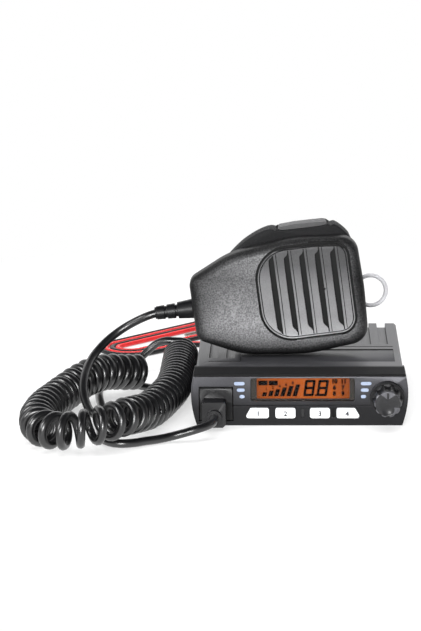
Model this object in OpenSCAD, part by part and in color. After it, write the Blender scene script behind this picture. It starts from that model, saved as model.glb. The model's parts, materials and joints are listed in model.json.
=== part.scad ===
// Compact mobile two-way radio with a hand microphone lying on it, a curly cord and a power lead.
// Millimetres, Z up. X runs to the right, Y to the back. The radio stands on Z = 0.

/* [Radio case] */
// Width of the cast chassis
case_w = 98; // [90:0.5:120]
// Height from the table to the top of the ribs
case_h = 25; // [24:0.5:32]
// Depth from the front face to the back wall
case_d = 100; // [92:1:130]
// Thickness of the chassis side walls
side_wall = 2.2; // [1.6:0.1:3]
// Thickness of the chassis back wall
back_wall = 3; // [2:0.1:4]
// Thickness of the chassis roof under the rib tops
roof_t = 3.4; // [3:0.1:4.4]
// Thickness of the bottom cover
cover_t = 1.5; // [1:0.1:2.5]
// Bevel on the two long top edges
top_bevel = 1; // [0.4:0.1:2]
// Diameter of the bracket screw holes in the sides
bracket_hole_d = 3.3; // [2.5:0.1:4.2]

/* [Heat ribs] */
// Number of cooling channels cut in the roof
channel_count = 11; // [7:1:13]
// Width of one channel
channel_w = 4.2; // [2:0.1:4.8]
// Depth of the channels
channel_depth = 2.2; // [1:0.1:2.8]
// Plain margin beside the outer channels
channel_margin = 5.6; // [4:0.1:9]
// Channels at the left that run on beside the plate
long_channels = 2; // [0:1:3]
// Length of the plain plate from front to back
plate_d = 23; // [14:0.5:26]
// Depth of the plate recess
plate_depth = 0.5; // [0.2:0.1:1]

/* [Front bezel] */
// How far the bezel stands out past the case at each side
bezel_over = 2; // [1.2:0.1:3]
// Depth of the bezel from its face to the chassis
bezel_d = 16.6; // [16:0.1:20]
// How far the sides draw in at the top
bezel_top_in = 1.4; // [0.2:0.1:3]
// How far the sides draw in at the bottom
bezel_bottom_in = 2.7; // [0.4:0.1:4]
// Thickness of the bezel walls
bezel_wall = 1.5; // [1.2:0.1:1.8]
// Thickness of the face
face_t = 2.6; // [2:0.1:2.8]
// Shadow step round the face
face_step = 0.7; // [0.3:0.1:1.2]

/* [Display] */
// Height of the display window
window_h = 11.3; // [8:0.1:11.6]
// Distance of the window centre below the top of the case
window_drop = 7.4; // [7:0.1:7.6]
// Thickness of the liquid crystal glass
glass_t = 1.8; // [1.2:0.1:2.2]

/* [Buttons] */
// Height of a button
button_h = 5; // [4:0.1:6]
// Width of the two inner buttons
inner_button_w = 9.4; // [7:0.1:10.4]
// Width of the two outer buttons
outer_button_w = 11.4; // [8:0.1:11.6]
// Slant of the outer ends
button_slant = 2.8; // [0:0.1:3.2]
// Height of the button row above the table
button_z = 6.4; // [5.8:0.1:7]
// How far the buttons stand out of the face
button_proud = 0.9; // [0.7:0.05:1.4]
// Gap round a button in the face
button_gap = 0.25; // [0.15:0.05:0.4]
// Height of the indicator lights
light_h = 1.6; // [1:0.1:2]
// Length of the longest indicator light
light_long = 4.9; // [4.4:0.1:5.2]
// Gap between the window and the lights
light_gap = 2.8; // [2.4:0.1:3.4]
// Gap between the left lights and the microphone socket
left_light_room = 1.85; // [1:0.05:3]
// Gap between the right lights and the encoder of the knob
right_light_room = 1.65; // [1:0.05:3]

/* [Knob] */
// Diameter of the knob at its front
knob_d = 12.8; // [11:0.1:14]
// Diameter of the knob skirt
skirt_d = 16.2; // [14.5:0.1:17]
// How far the knob stands out of the face
knob_out = 13; // [10:0.5:16]
// Finger flutes round the knob
flute_count = 10; // [6:1:14]
// Diameter of the knob shaft
shaft_d = 6; // [5:0.1:6.5]
// Radial running clearance of the shaft
shaft_clearance = 0.05; // [0.03:0.01:0.08]

/* [Rear sockets] */
// Diameter of the antenna socket thread
antenna_d = 15.9; // [14:0.1:17]
// How far the antenna socket stands out of the back
antenna_out = 13; // [10:0.5:16]
// Bore of the antenna contact
contact_bore_d = 4; // [3.6:0.1:4.2]
// Bore of the external speaker socket
phone_bore_d = 3.6; // [3.5:0.05:3.8]
// Diameter of the loudspeaker
speaker_d = 38; // [30:1:40]

/* [Hand microphone] */
// Length of the microphone without its cord
mic_len = 82.6; // [76:0.2:96]
// Greatest width of the microphone
mic_w = 57.6; // [50:0.2:66]
// Width at the cord end before rounding
mic_end_w = 29.8; // [26:0.2:36]
// Depth of the front shell
front_shell_d = 10; // [9:0.5:12]
// Depth of the rear shell
rear_shell_d = 18; // [17:0.5:22]
// Wall of both shells
shell_wall = 2.2; // [1.8:0.1:2.6]
// Rounding of the front edge
edge_round = 5.2; // [4:0.1:7]
// Lean of the microphone as it rests on the radio
mic_tilt = 7.3; // [4:0.1:10]
// Grille slots
slot_count = 5; // [3:1:6]
// Spacing of the grille slots
slot_pitch = 7.4; // [6:0.1:8]
// Width of a grille slot
slot_w = 2.6; // [1.4:0.1:3]
// Diameter of the hanging ring to the middle of its wire
ring_d = 15; // [13:0.5:18]
// Wire of the hanging ring
ring_wire_d = 2.2; // [1.6:0.1:2.4]

/* [Cords] */
// Diameter of the microphone cord
cord_d = 4; // [3.4:0.1:4.1]
// Radius of the curls to the middle of the cord
curl_r = 7; // [6:0.1:7.2]
// Diameter of one power wire
wire_d = 2.5; // [1.8:0.1:2.7]

/* [Hidden] */
$fn = 40;
eps = 0.01;
round_ease = 1.08;
snug = 0.1;
mid_y = (knob_out - case_d - antenna_out) / 2;
half_case = case_w / 2;
half_bezel = half_case + bezel_over;
inside_x = half_case - side_wall;
ceiling_z = case_h - roof_t;
inside_back = case_d - back_wall;

// Roof pattern
rib_w = (case_w - 2 * channel_margin - channel_count * channel_w) / (channel_count - 1);
channel_pitch = channel_w + rib_w;
plate_front = bezel_d + 8;
plate_back = plate_front + plate_d;
plate_left = -half_case + channel_margin + long_channels * channel_pitch - rib_w / 2 + 0.6;
plate_right = half_case - 3.4;
groove_w = 0.9;
groove_y = plate_back + 5;
channel_front = groove_y + 4.5;
long_front = plate_front + 6;

// Bezel sides and the layers behind the face
widest_z = 15.5;
side_steps = 7;
glass_y = face_t + snug;
guide_y = glass_y + glass_t + snug;
board_y = 8;
board_t = 1.2;
tongue_t = 1.8;
tongue_in = 0.8;
tongue_x = half_case - tongue_in;
tongue_half = 4.5;
side_screw_y = 13.5;
side_screw_z = case_h / 2;
side_screw_d = 2.2;
side_head_d = 4;
side_head_t = 0.9;
side_screw_past = 0.3;

// Knob and its push encoder
knob_x = half_bezel - 10;
knob_z = 14;
push_travel = 0.7;
skirt_back = -1.1;
skirt_t = 2.4;
flute_r = 1.7;
encoder_w = 11.4;
encoder_y = face_t + 0.4;
bushing_d = shaft_d + 1.4;
slider_d = shaft_d + 3.2;
slider_t = 1.4;
slider_y = encoder_y + 1.4;
shaft_back = slider_y + slider_t;
pocket_back = shaft_back + push_travel + 0.3;

// Microphone socket and plug
jack_x = -half_bezel + 11.8;
jack_z = 10.7;
recess_w = 16.2;
recess_h = 16.8;
jack_w = 13.4;
jack_h = 12.6;
jack_y = face_t + 0.2;
jack_d = 12.6;
tongue_w = 11.7;
tongue_h = 8;
plug_gap = 0.25;
plug_fit = 0.35;
ridge_count = 8;
ridge_pitch = 1.05;
plug_back = 2.2;
plug_shoulder_front = -1;
plug_front = -9;
plug_boss_d = 7;
plug_boss_l = 2.5;
plug_low_z = 1.6;
plug_high_z = 13.8;
plug_low_left = -6.4;
plug_low_right = 4.7;
plug_exit_x = jack_x - 0.7;
plug_exit_z = 7;
plug_exit_y = plug_front - plug_boss_l;

// Window: it fills the room that the lights leave between the microphone socket and the encoder
window_left = jack_x + jack_w / 2 + left_light_room + light_long + light_gap;
window_right = knob_x - encoder_w / 2 - right_light_room - light_long - light_gap;
window_w = window_right - window_left;
window_x = (window_left + window_right) / 2;
window_z = case_h - window_drop;

// Buttons, counted from the left
button_row_x = window_x;
inner_button_x = 8.1;
outer_button_x = inner_button_x + inner_button_w / 2 + outer_button_w / 2 + 3.1;
flange_t = 1;
button_r = 1;
flange_rim = 0.7;
flange_y = face_t + snug;
stem_back = flange_y + flange_t + 0.6;
button_travel = 0.6;
switch_y = stem_back + button_travel + snug;
light_pitch = light_h + 1.55;
light_shrink = 1.25;
light_top_z = window_z + 2.95;
light_plate = 1.5;
slit_w = 1.6;
button_top_z = button_z + button_h / 2;
divider_z = button_top_z + 0.36 * (window_z - window_h / 2 - button_top_z);
divider_w = 0.5;
divider_left = window_x - 33;
divider_right = window_x + 33;

// Inside the case
main_board_z = 11.5;
main_board_t = 1.6;
main_board_top = main_board_z + main_board_t;
main_board_x = inside_x - 2.8;
main_board_front = bezel_d + 10.4;
main_board_back = inside_back - 9;
post_d = 6;
post_x = main_board_x - 6;
post_front = main_board_front + 4;
post_back = main_board_back - 4;
boss_x = inside_x - 2.6;
boss_front = bezel_d + 5.4;
boss_back = inside_back - 3.8;
screw_d = 2;
screw_head_d = 4;
screw_head_t = 1.2;
speaker_x = 17;
shield_left = -20;
shield_w = 32;
shield_d = 26;
shield_h = 5.5;
shield_sheet = 0.5;
shield_ahead = 12;
big_part_d = 6.4;
big_part_h = 5.6;
big_part_pitch = 8;
big_part_x = 22;
long_part_w = 11;
long_part_d = 5;
long_part_h = 4;
square_part_w = 7;
square_part_h = 5;
square_part_pitch = 9;
square_part_x = -36;
speaker_y = (main_board_front + main_board_back) / 2;

// Rear wall
antenna_side_gap = 3.6;
antenna_nut_d = 15.2;
antenna_x = boss_x - post_d / 2 - antenna_nut_d / 2 - antenna_side_gap;
antenna_z = 11.8;
antenna_flange_d = antenna_d + 3;
antenna_flange_t = 2;
antenna_neck_d = 12;
antenna_bore_d = 10.6;
antenna_nut_t = 2.4;
phone_x = 2;
phone_z = main_board_top + 2.7;
phone_nose_d = 6;
phone_nut_d = 9;
grommet_hole_d = 8;
grommet_lip = 1.2;
power_side_gap = 4;
power_x = -boss_x + post_d / 2 + grommet_hole_d / 2 + grommet_lip + power_side_gap;
power_z = 9;
grommet_out = 10;
wire_gap = 0.35;
wire_step = (wire_d + wire_gap) / 2;
bracket_y = (bezel_d + case_d) / 2;
bracket_drop = 5.1;
bracket_z = case_h - bracket_drop;
bracket_boss_d = 7;
bracket_boss_l = 4;

// Microphone shells in their own frame: X along its length, Y from face to back, Z to the key side
mic_half = mic_w / 2;
mic_mid = mic_len / 2;
mic_x = -51.2;
mic_y = 33;
mic_sin = sin(mic_tilt);
mic_cos = cos(mic_tilt);
rest_gap = 0.05;
shell_back = front_shell_d + rear_shell_d;
neck_u = 21.4;
neck_half = mic_half - 3.6;
belly_u = mic_len - 30;
shoulder_u = mic_len - 0.4;
shoulder_half = mic_half - 2.9;
side_corners = [
    [0, mic_end_w / 2, 6],
    [neck_u, neck_half, 40],
    [belly_u, mic_half, 70],
    [shoulder_u, shoulder_half, 9],
];
mic_corners = concat(
    [for (c = side_corners) [c.x, -c.y, c.z]],
    [[mic_len + 0.6, 0, 90]],
    [for (i = [len(side_corners) - 1:-1:0]) side_corners[i]]
);
corner_steps = 5;
mic_outline = [for (i = [0:len(mic_corners) - 1]) each corner_arc(mic_corners, i, corner_steps)];
mic_lowest = min([for (p = mic_outline) p.x * mic_sin + p.y * mic_cos]);
mic_z = case_h + rest_gap - mic_lowest;
round_steps = 5;
front_profile = concat(
    [for (k = [0:round_steps]) let (a = 90 * (1 - k / round_steps))
        [edge_round * (1 - cos(a)), 0.95 * edge_round * (1 - sin(a))]],
    [[0, front_shell_d]]
);
rear_profile = [[0.4, 0], [2, 0.34], [4.4, 0.66], [7.6, 0.87], [12, 1]];

// Grille: a line round it and slots that are wide in the middle and narrow at both ends
grille_left = 31.9;
grille_right = mic_len - 4.4;
grille_top = mic_half - 2.6;
grille_bottom = -mic_half + 8.4;
grille_near_r = 16;
grille_far_r = 8.5;
grille_line_w = 0.8;
grille_line_depth = 1.1;
slot_first_u = 41.9;
slot_line_w = 0.5;
slot_kink = 2.4;
slot_wide_top = grille_top - 6;
slot_wide_bottom = grille_bottom + 7;
slot_depth = 1.3;
pinhole_d = 1.2;
capsule_u = slot_first_u + 3 * slot_pitch;
capsule_v = 3.2;
capsule_d = 9.7;
capsule_t = 5.5;
capsule_boot_t = 1.2;

// Talk key in its hump on the upper side: the hump's places run from foot to foot over its two lobes
hump_mid = mic_len - 25.2;
hump_base_v = mic_half - 6;
hump_places = [
    [-39.6, -11], [-38.1, -7.6], [-34, -4.1], [-29.3, -0.7], [-24.1, 2], [-19, 3.8], [-15.8, 4.3], [-14.2, 3.9],
    [-13.2, 3.4], [-12.4, 3.9], [-8, 4.3], [0, 4.6], [8, 4.5], [11, 4.1], [12.6, 3], [13.4, 2.5], [14.4, 2.7],
    [15.4, 2.6], [17.2, 1.3], [19.5, -1.1], [21.2, -3.4], [23.6, -11],
];
hump_front = front_shell_d + 0.6;
hump_back = front_shell_d + 14;
hump_bevel = 1.4;
key_wall = 2.4;
key_gap = 0.3;
key_end_gap = 0.6;
key_slot_front = hump_front + key_wall;
key_slot_back = hump_back - key_wall;
key_slot_left = hump_mid - 12.6;
key_slot_right = hump_mid + 12.2;
key_slot_floor = mic_half - 8;
key_left = key_slot_left + key_end_gap;
key_right = key_slot_right - key_end_gap;
key_top_v = mic_half + 4.7;
key_h = 8;
key_swing = 4;
key_pin_u = key_slot_left + 3.6;
key_pin_v = mic_half + 0.2;
key_pin_d = 2;
key_pin_clearance = 0.05;
plunger_right = key_slot_right - 9;
plunger_top = key_top_v - key_h - (plunger_right - key_pin_u) * tan(key_swing) - 0.1;

// Ring, staple and strain relief of the microphone
ring_u = mic_len + 3.3;
ring_v = -6.7;
ring_y = shell_back - 1.2;
staple_u = ring_u - ring_d / 2;
staple_w = 4;
staple_l = 5;
staple_hole_d = ring_wire_d + 1;
boot_y = front_shell_d + 2;
boot_v = -1.1;
boot_neck_d = 8;
boot_collar_d = 9.6;
boot_collar_end_d = 8;
boot_collar_l = 7.4;
boot_rib_d = 7.4;
boot_rib_l = 4;
boot_rib_gap = 1.2;
boot_core_d = 5.4;
boot_l = 18.9;
boot_mouth = 1;
boot_mouth_d = cord_d + 0.8;
lead_seat = 0.6;
lead_droop = 12;
mic_screws_at = [[22, 0], [66, -12]];
mic_screw_hole_d = 2.6;
mic_screw_bore_y = shell_back - 4.5;

// Curly cord: the axis is a list of places chosen by hand, then the helix winds round it
table_r = curl_r + cord_d / 2 + 0.2;
lift = cord_d + 0.6;
curl_axis = [
    [-78.5, 63.5, table_r + 0.05 * lift], [-86.1, 55.9, table_r + 0.45 * lift], [-93.6, 48.3, table_r + 0.92 * lift],
    [-100.6, 40.2, table_r + lift], [-107, 31.4, table_r + 0.65 * lift], [-112.4, 22, table_r + 0.25 * lift],
    [-116.6, 12, table_r], [-119.4, 1.4, table_r], [-120.9, -9.8, table_r], [-121, -22, table_r],
    [-117.2, -35.5, table_r], [-106.2, -44.4, table_r + 0.3 * lift], [-91.6, -43.8, table_r + 0.8 * lift],
    [-80.8, -33.4, table_r + lift], [-75.4, -20.8, table_r + 0.55 * lift], [-71, -8.2, table_r + 0.1 * lift],
    [-67.6, 3.8, table_r], [-64.8, 15.2, table_r], [-62.5, 26.2, table_r], [-61, 36.8, table_r],
    [-60.3, 47.2, table_r], [-60, 57.4, table_r], [-60, 67.6, table_r], [-60, 77.8, table_r],
    [-60, 88, table_r], [-60, 98.2, table_r],
];
curl_steps = 16;
curl_turns = 2 * (len(curl_axis) - 1) + 0.5;
curl_line = spline(curl_axis, curl_steps);
curl_last = len(curl_line) - 1;
curl_points = [for (i = [0:curl_last]) curl_point(i)];
curl_radials = [for (i = [0:curl_last]) unit(curl_points[i] - curl_line[i])];
curl_start_way = curl_way(0);
curl_end_way = curl_way(curl_last);
curl_start = curl_points[0] - cord_d * curl_start_way;
curl_end = curl_points[curl_last] + cord_d * curl_end_way;
curl_tube = concat([curl_start], curl_points, [curl_end]);
curl_refs = concat([curl_radials[0]], curl_radials, [curl_radials[curl_last]]);
curl_gap = min([for (i = [0:curl_last - 6]) for (j = [i + 6:curl_last])
    norm(curl_points[i] - curl_points[j])]) - cord_d;
echo(least_gap_of_the_curly_cord_to_itself = curl_gap);

// Free stretches of the microphone cord, places chosen by hand
lie = cord_d / 2 + 0.15;
boot_end = mic_point(-boot_l, boot_y, boot_v);
boot_way = [-mic_cos, 0, -mic_sin];
lead_way = [-cos(mic_tilt + lead_droop), 0, -sin(mic_tilt + lead_droop)];
lead_from = boot_end - lead_seat * boot_way;
mic_lead_route = concat(
    [lead_from, lead_from + 1.25 * cord_d * lead_way],
    [
        [-79.2, 45.6, 39.6], [-84.6, 45.7, 36.5], [-89.5, 44.5, 33.3], [-93.6, 41.7, 30.4], [-97, 37.4, 27.6],
        [-99.8, 31.4, 24.8],
        [-101.6, 23.4, 21.9], [-102.4, 15, 18.7], [-102.2, 7.8, 15.2], [-100.9, 2, 11.8], [-98.6, -4, 9],
        [-95.4, -8.4, 7.6], [-90.5, -10, 6.6], [-85.6, -8.4, 5.4], [-82.5, -4.2, 4.2], [-81.4, 2.5, 3],
        [-80, 11, lie],
        [-77.4, 22, lie], [-74, 32.5, lie], [-71.3, 42, lie], [-69.9, 48.5, lie], [-70.2, 53.7, lie],
    ],
    [curl_start - cord_d * curl_start_way, curl_start]
);
plug_lead_route = concat(
    [[plug_exit_x, plug_exit_y, plug_exit_z], [plug_exit_x, plug_exit_y - cord_d, plug_exit_z]],
    [
        [-40.6, -19.5, 6.9], [-43, -23.2, 6.6], [-47.2, -25.6, 5.8], [-52.8, -26.4, 4.3], [-58.5, -27, 2.9],
        [-64.5, -29.2, lie], [-70.5, -32.4, lie], [-76.5, -35.6, lie], [-82.8, -36.4, lie],
        [-88.4, -33, lie], [-91.6, -25, lie], [-92.8, -13, lie], [-93.5, 0, lie], [-94, 14, lie],
        [-95.5, 28, lie], [-97.5, 42, lie], [-98.5, 56, lie], [-97.5, 70, lie], [-93.5, 82, lie],
        [-87.6, 91.5, 3.2], [-82, 96.8, 6.4], [-77.2, 99, 10.6], [-72.6, 99.6, 14.4],
    ],
    [curl_end + cord_d * curl_end_way, curl_end]
);
lead_steps = 3;

// Power wires: out of the back, down to the table, then a flat wound hank of long loops
hank_mid = [-40, 193];
hank_way = 45;
hank_half_run = 70;
hank_half_w = 16;
hank_step = 2 * (wire_d + wire_gap) + 0.4;
hank_loops = 2;
hank_rings = 24;
cap_rings = 9;
run_rings = hank_rings / 2 - cap_rings;
wire_lie = wire_d / 2 + 0.05;
power_exit_y = case_d + grommet_out;
tip_l = 8;
tip_d = 0.72 * wire_d;

// Names of the sub-parts

// Vector and curve helpers
function unit(v) = v / norm(v);
function flat_left(t) = unit([-t.y, t.x, 0]);
function blend_point(a, b, c, d, t) = let (m = round_ease / 2 * (c - a), n = round_ease / 2 * (d - b))
    (2 * t * t * t - 3 * t * t + 1) * b + (t * t * t - 2 * t * t + t) * m
    + (3 * t * t - 2 * t * t * t) * c + (t * t * t - t * t) * n;
function spline(p, steps) = let (last = len(p) - 1) [
    for (i = [0:last - 1]) for (j = [0:steps - 1])
        blend_point(i > 0 ? p[i - 1] : 2 * p[0] - p[1], p[i], p[i + 1],
            i < last - 1 ? p[i + 2] : 2 * p[last] - p[last - 1], j / steps),
    p[last],
];
function way_at(p, i) = unit(p[min(i + 1, len(p) - 1)] - p[max(i - 1, 0)]);
function corner_arc(corners, i, steps) = let (
    count = len(corners),
    p = [corners[i].x, corners[i].y],
    before = [corners[(i + count - 1) % count].x, corners[(i + count - 1) % count].y],
    after = [corners[(i + 1) % count].x, corners[(i + 1) % count].y],
    r = corners[i].z,
    a = unit(before - p),
    b = unit(after - p),
    half = acos(a * b) / 2,
    reach = r / tan(half),
    centre = p + unit(a + b) * r / sin(half),
    from = p + a * reach - centre,
    to = p + b * reach - centre
) [for (k = [0:steps]) centre + r * unit(from * (1 - k / steps) + to * (k / steps))];
function mic_point(u, y, v) = [mic_x + u * mic_cos - v * mic_sin, mic_y + y, mic_z + u * mic_sin + v * mic_cos];
function mic_ring(inset, y) = [for (p = mic_outline)
    [mic_mid + (p.x - mic_mid) * (1 - inset / mic_mid), y, p.y * (1 - inset / mic_half)]];
function curl_point(i) = let (
    t = way_at(curl_line, i),
    left = flat_left(t),
    up = cross(t, left),
    turn = -90 - 360 * curl_turns * i / curl_last
) curl_line[i] + curl_r * (cos(turn) * left + sin(turn) * up);
function curl_way(i) = let (
    t = way_at(curl_line, i),
    left = flat_left(t),
    turn = -90 - 360 * curl_turns * i / curl_last,
    pitch = norm(curl_axis[1] - curl_axis[0]) * (len(curl_axis) - 1) / curl_turns
) unit(pitch * t + 2 * PI * curl_r * sin(turn) * left);

// Place of the wire pair in the hank, from the outer loop inwards
function hank_frame(run, across) = [
    hank_mid.x + run * cos(hank_way) - across * sin(hank_way),
    hank_mid.y + run * sin(hank_way) + across * cos(hank_way),
    wire_lie,
];
function hank_point(k) = let (
    w = hank_half_w - hank_step * k / hank_rings,
    m = k % hank_rings,
    half = hank_rings / 2,
    far = m >= half,
    n = far ? m - half : m,
    turn = n <= run_rings ? 0 : 180 * (n - run_rings) / cap_rings,
    run = n <= run_rings ? hank_half_run - 2 * hank_half_run * n / run_rings : -hank_half_run - w * sin(turn),
    across = -w * cos(turn)
) far ? hank_frame(-run, -across) : hank_frame(run, across);
pair_path = concat(
    spline([
        [power_x, power_exit_y, power_z], [power_x, power_exit_y + 4, power_z], [-32.5, 122, 6], [-33.5, 131, 2.2],
        [-36.5, 139.5, wire_lie], [-43, 146.5, wire_lie], [-52, 150, wire_lie], [-61, 147.6, wire_lie],
        hank_point(run_rings),
    ], 3),
    [for (k = [run_rings + 1:hank_rings * hank_loops + run_rings - 1]) hank_point(k)]
);
function wire_path(side) = [for (i = [0:len(pair_path) - 1])
    pair_path[i] + side * wire_step * flat_left(way_at(pair_path, i))];

// Solid helpers
module place() translate([0, mid_y, 0]) children();
module mic_place() place() translate([mic_x, mic_y, mic_z]) rotate([0, -mic_tilt, 0]) children();
module block(x0, x1, y0, y1, z0, z1) translate([x0, y0, z0]) cube([x1 - x0, y1 - y0, z1 - z0]);
module along_y(y0, y1) translate([0, y1, 0]) rotate([90, 0, 0]) linear_extrude(y1 - y0) children();
module rod_y(x, z, d, y0, y1) translate([x, y1, z]) rotate([90, 0, 0]) cylinder(d = d, h = y1 - y0);
module rod_x(y, z, d, x0, x1) translate([x0, y, z]) rotate([0, 90, 0]) cylinder(d = d, h = x1 - x0);
module rod_z(x, y, d, z0, z1) translate([x, y, z0]) cylinder(d = d, h = z1 - z0);
module pill(w, h) {
    square([w - h, h], center = true);
    for (side = [-1, 1]) translate([side * (w - h) / 2, 0]) circle(d = h);
}
module soft_rect(w, h, r) {
    square([w - 2 * r, h], center = true);
    square([w, h - 2 * r], center = true);
    for (sx = [-1, 1]) for (sy = [-1, 1]) translate([sx * (w / 2 - r), sy * (h / 2 - r)]) circle(r = r);
}

// Solid through equal rings of points, listed from front to back
module loft(rings) {
    n = len(rings[0]);
    last = len(rings) - 1;
    polyhedron(
        points = [for (r = rings) each r],
        faces = concat(
            [[for (i = [n - 1:-1:0]) i]],
            [for (k = [0:last - 1]) for (i = [0:n - 1]) let (j = (i + 1) % n)
                each [[k * n + i, k * n + j, (k + 1) * n + j], [k * n + i, (k + 1) * n + j, (k + 1) * n + i]]],
            [[for (i = [0:n - 1]) last * n + i]]
        ),
        convexity = 6
    );
}

// Round tube along a path, with one direction per point that its first side leans on
module tube(path, refs, d, sides) {
    loft([for (i = [0:len(path) - 1]) let (
        t = way_at(path, i),
        s = unit(cross(t, refs[i])),
        q = cross(s, t)
    ) [for (k = [0:sides - 1]) path[i] + d / 2 * (cos(360 * k / sides) * s + sin(360 * k / sides) * q)]]);
}
module lead(route, d, sides) {
    path = spline(route, lead_steps);
    tube(path, [for (p = path) [0, 0, 1]], d, sides);
}

// Outline of the bezel seen from the front
function bezel_half(z) = z < widest_z
    ? half_bezel - bezel_bottom_in * pow(1 - z / widest_z, 2)
    : half_bezel - bezel_top_in * pow((z - widest_z) / (case_h - widest_z), 2);
module bezel_outline(inset) {
    zs = [for (k = [0:2 * side_steps]) inset + (case_h - 2 * inset) * k / (2 * side_steps)];
    polygon(concat(
        [for (z = zs) [bezel_half(z) - inset, z]],
        [for (k = [len(zs) - 1:-1:0]) [-bezel_half(zs[k]) + inset, zs[k]]]
    ));
}

// Outline of a button, counted 1 to 4 from the left, grown by rim
module button_outline(number, rim) {
    outer = number == 1 || number == 4;
    side = number <= 2 ? -1 : 1;
    w = (outer ? outer_button_w : inner_button_w) / 2 + rim;
    h = button_h / 2 + rim;
    slant = outer ? button_slant : 0;
    translate([button_row_x + side * (outer ? outer_button_x : inner_button_x), button_z])
        scale([side, 1]) polygon([for (i = [0:3]) each corner_arc([
            [-w, -h, button_r + rim], [w, -h, button_r + rim], [w - slant, h, button_r + rim], [-w, h, button_r + rim],
        ], i, 3)]);
}
function light_len(row) = light_long - light_shrink * row;
module light_outline(side, row, rim) {
    inner = window_x + side * (window_w / 2 + light_gap);
    translate([inner + side * light_len(row) / 2, light_top_z - row * light_pitch])
        pill(light_len(row) + 2 * rim, light_h + 2 * rim);
}

// Cast chassis: ribbed roof, sides, back wall, posts and screw bosses
module chassis() color("dimgray") difference() {
    union() {
        difference() {
            along_y(bezel_d, case_d) polygon([
                [-half_case, cover_t], [half_case, cover_t], [half_case, case_h - top_bevel],
                [half_case - top_bevel, case_h], [-half_case + top_bevel, case_h],
                [-half_case, case_h - top_bevel],
            ]);
            block(-inside_x, inside_x, bezel_d - 1, inside_back, cover_t - 1, ceiling_z);
        }
        for (sx = [-1, 1]) {
            for (y = [post_front, post_back]) rod_z(sx * post_x, y, post_d, main_board_top, ceiling_z + 1);
            for (y = [boss_front, boss_back]) rod_z(sx * boss_x, y, post_d, cover_t, ceiling_z + 1);
            block(
                sx > 0 ? tongue_x - tongue_t : -inside_x - 1, sx > 0 ? inside_x + 1 : -tongue_x + tongue_t,
                bezel_d, bezel_d + 3, side_screw_z - tongue_half, side_screw_z + tongue_half
            );
            block(
                sx > 0 ? tongue_x - tongue_t : -tongue_x, sx > 0 ? tongue_x : -tongue_x + tongue_t,
                side_screw_y - 2.6, bezel_d + 1, side_screw_z - tongue_half, side_screw_z + tongue_half
            );
            rod_x(bracket_y, bracket_z, bracket_boss_d,
                sx > 0 ? inside_x - bracket_boss_l : -inside_x - 1, sx > 0 ? inside_x + 1 : -inside_x + bracket_boss_l);
        }
    }
    for (i = [0:channel_count - 1]) {
        left = -half_case + channel_margin + i * channel_pitch;
        block(left, left + channel_w, i < long_channels ? long_front : channel_front, case_d + 1,
            case_h - channel_depth, case_h + 1);
    }
    block(plate_left, plate_right, plate_front, plate_back, case_h - plate_depth, case_h + 1);
    block(plate_left, plate_right, groove_y - groove_w / 2, groove_y + groove_w / 2, case_h - 1, case_h + 1);
    block(-half_case + channel_margin, plate_right, plate_front - groove_w, plate_front,
        case_h - 1.2, case_h + 1);
    rod_y(antenna_x, antenna_z, antenna_neck_d + 0.4, inside_back - 1, case_d + 1);
    rod_y(phone_x, phone_z, phone_nose_d + 0.4, inside_back - 1, case_d + 1);
    rod_y(power_x, power_z, grommet_hole_d, inside_back - 1, case_d + 1);
    for (sx = [-1, 1]) {
        for (y = [post_front, post_back]) rod_z(sx * post_x, y, screw_d + 0.2, main_board_top - 1, main_board_top + 5);
        for (y = [boss_front, boss_back]) rod_z(sx * boss_x, y, screw_d + 0.2, cover_t - 1, cover_t + 9);
        rod_x(side_screw_y, side_screw_z, side_screw_d + 0.2, sx * tongue_x - 3, sx * tongue_x + 3);
        rod_x(bracket_y, bracket_z, bracket_hole_d,
            sx > 0 ? inside_x - bracket_boss_l - 1 : -half_case - 1,
            sx > 0 ? half_case + 1 : -inside_x + bracket_boss_l + 1);
    }
}

// Bottom cover with its sound slots
module bottom_cover() color("gray") difference() {
    block(-half_case, half_case, bezel_d, case_d, 0, cover_t);
    for (k = [-3:3]) {
        reach = sqrt(pow(speaker_d / 2 - 3, 2) - pow(4.2 * k, 2));
        translate([speaker_x, speaker_y + 4.2 * k, -1]) linear_extrude(cover_t + 2) pill(2 * reach, 2);
    }
    for (sx = [-1, 1]) for (y = [boss_front, boss_back]) translate([sx * boss_x, y, 0]) {
        translate([0, 0, -1]) cylinder(d = screw_d + 0.4, h = cover_t + 2);
        translate([0, 0, -eps]) cylinder(d1 = screw_head_d + 0.6, d2 = screw_d + 0.4, h = 1.2);
    }
}
module cover_screws() color("silver") for (sx = [-1, 1]) for (y = [boss_front, boss_back]) translate([sx * boss_x, y, 0]) {
    translate([0, 0, 0.1]) cylinder(d1 = screw_head_d, d2 = screw_d, h = 1);
    translate([0, 0, 1]) cylinder(d = screw_d, h = cover_t + 6);
}

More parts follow.
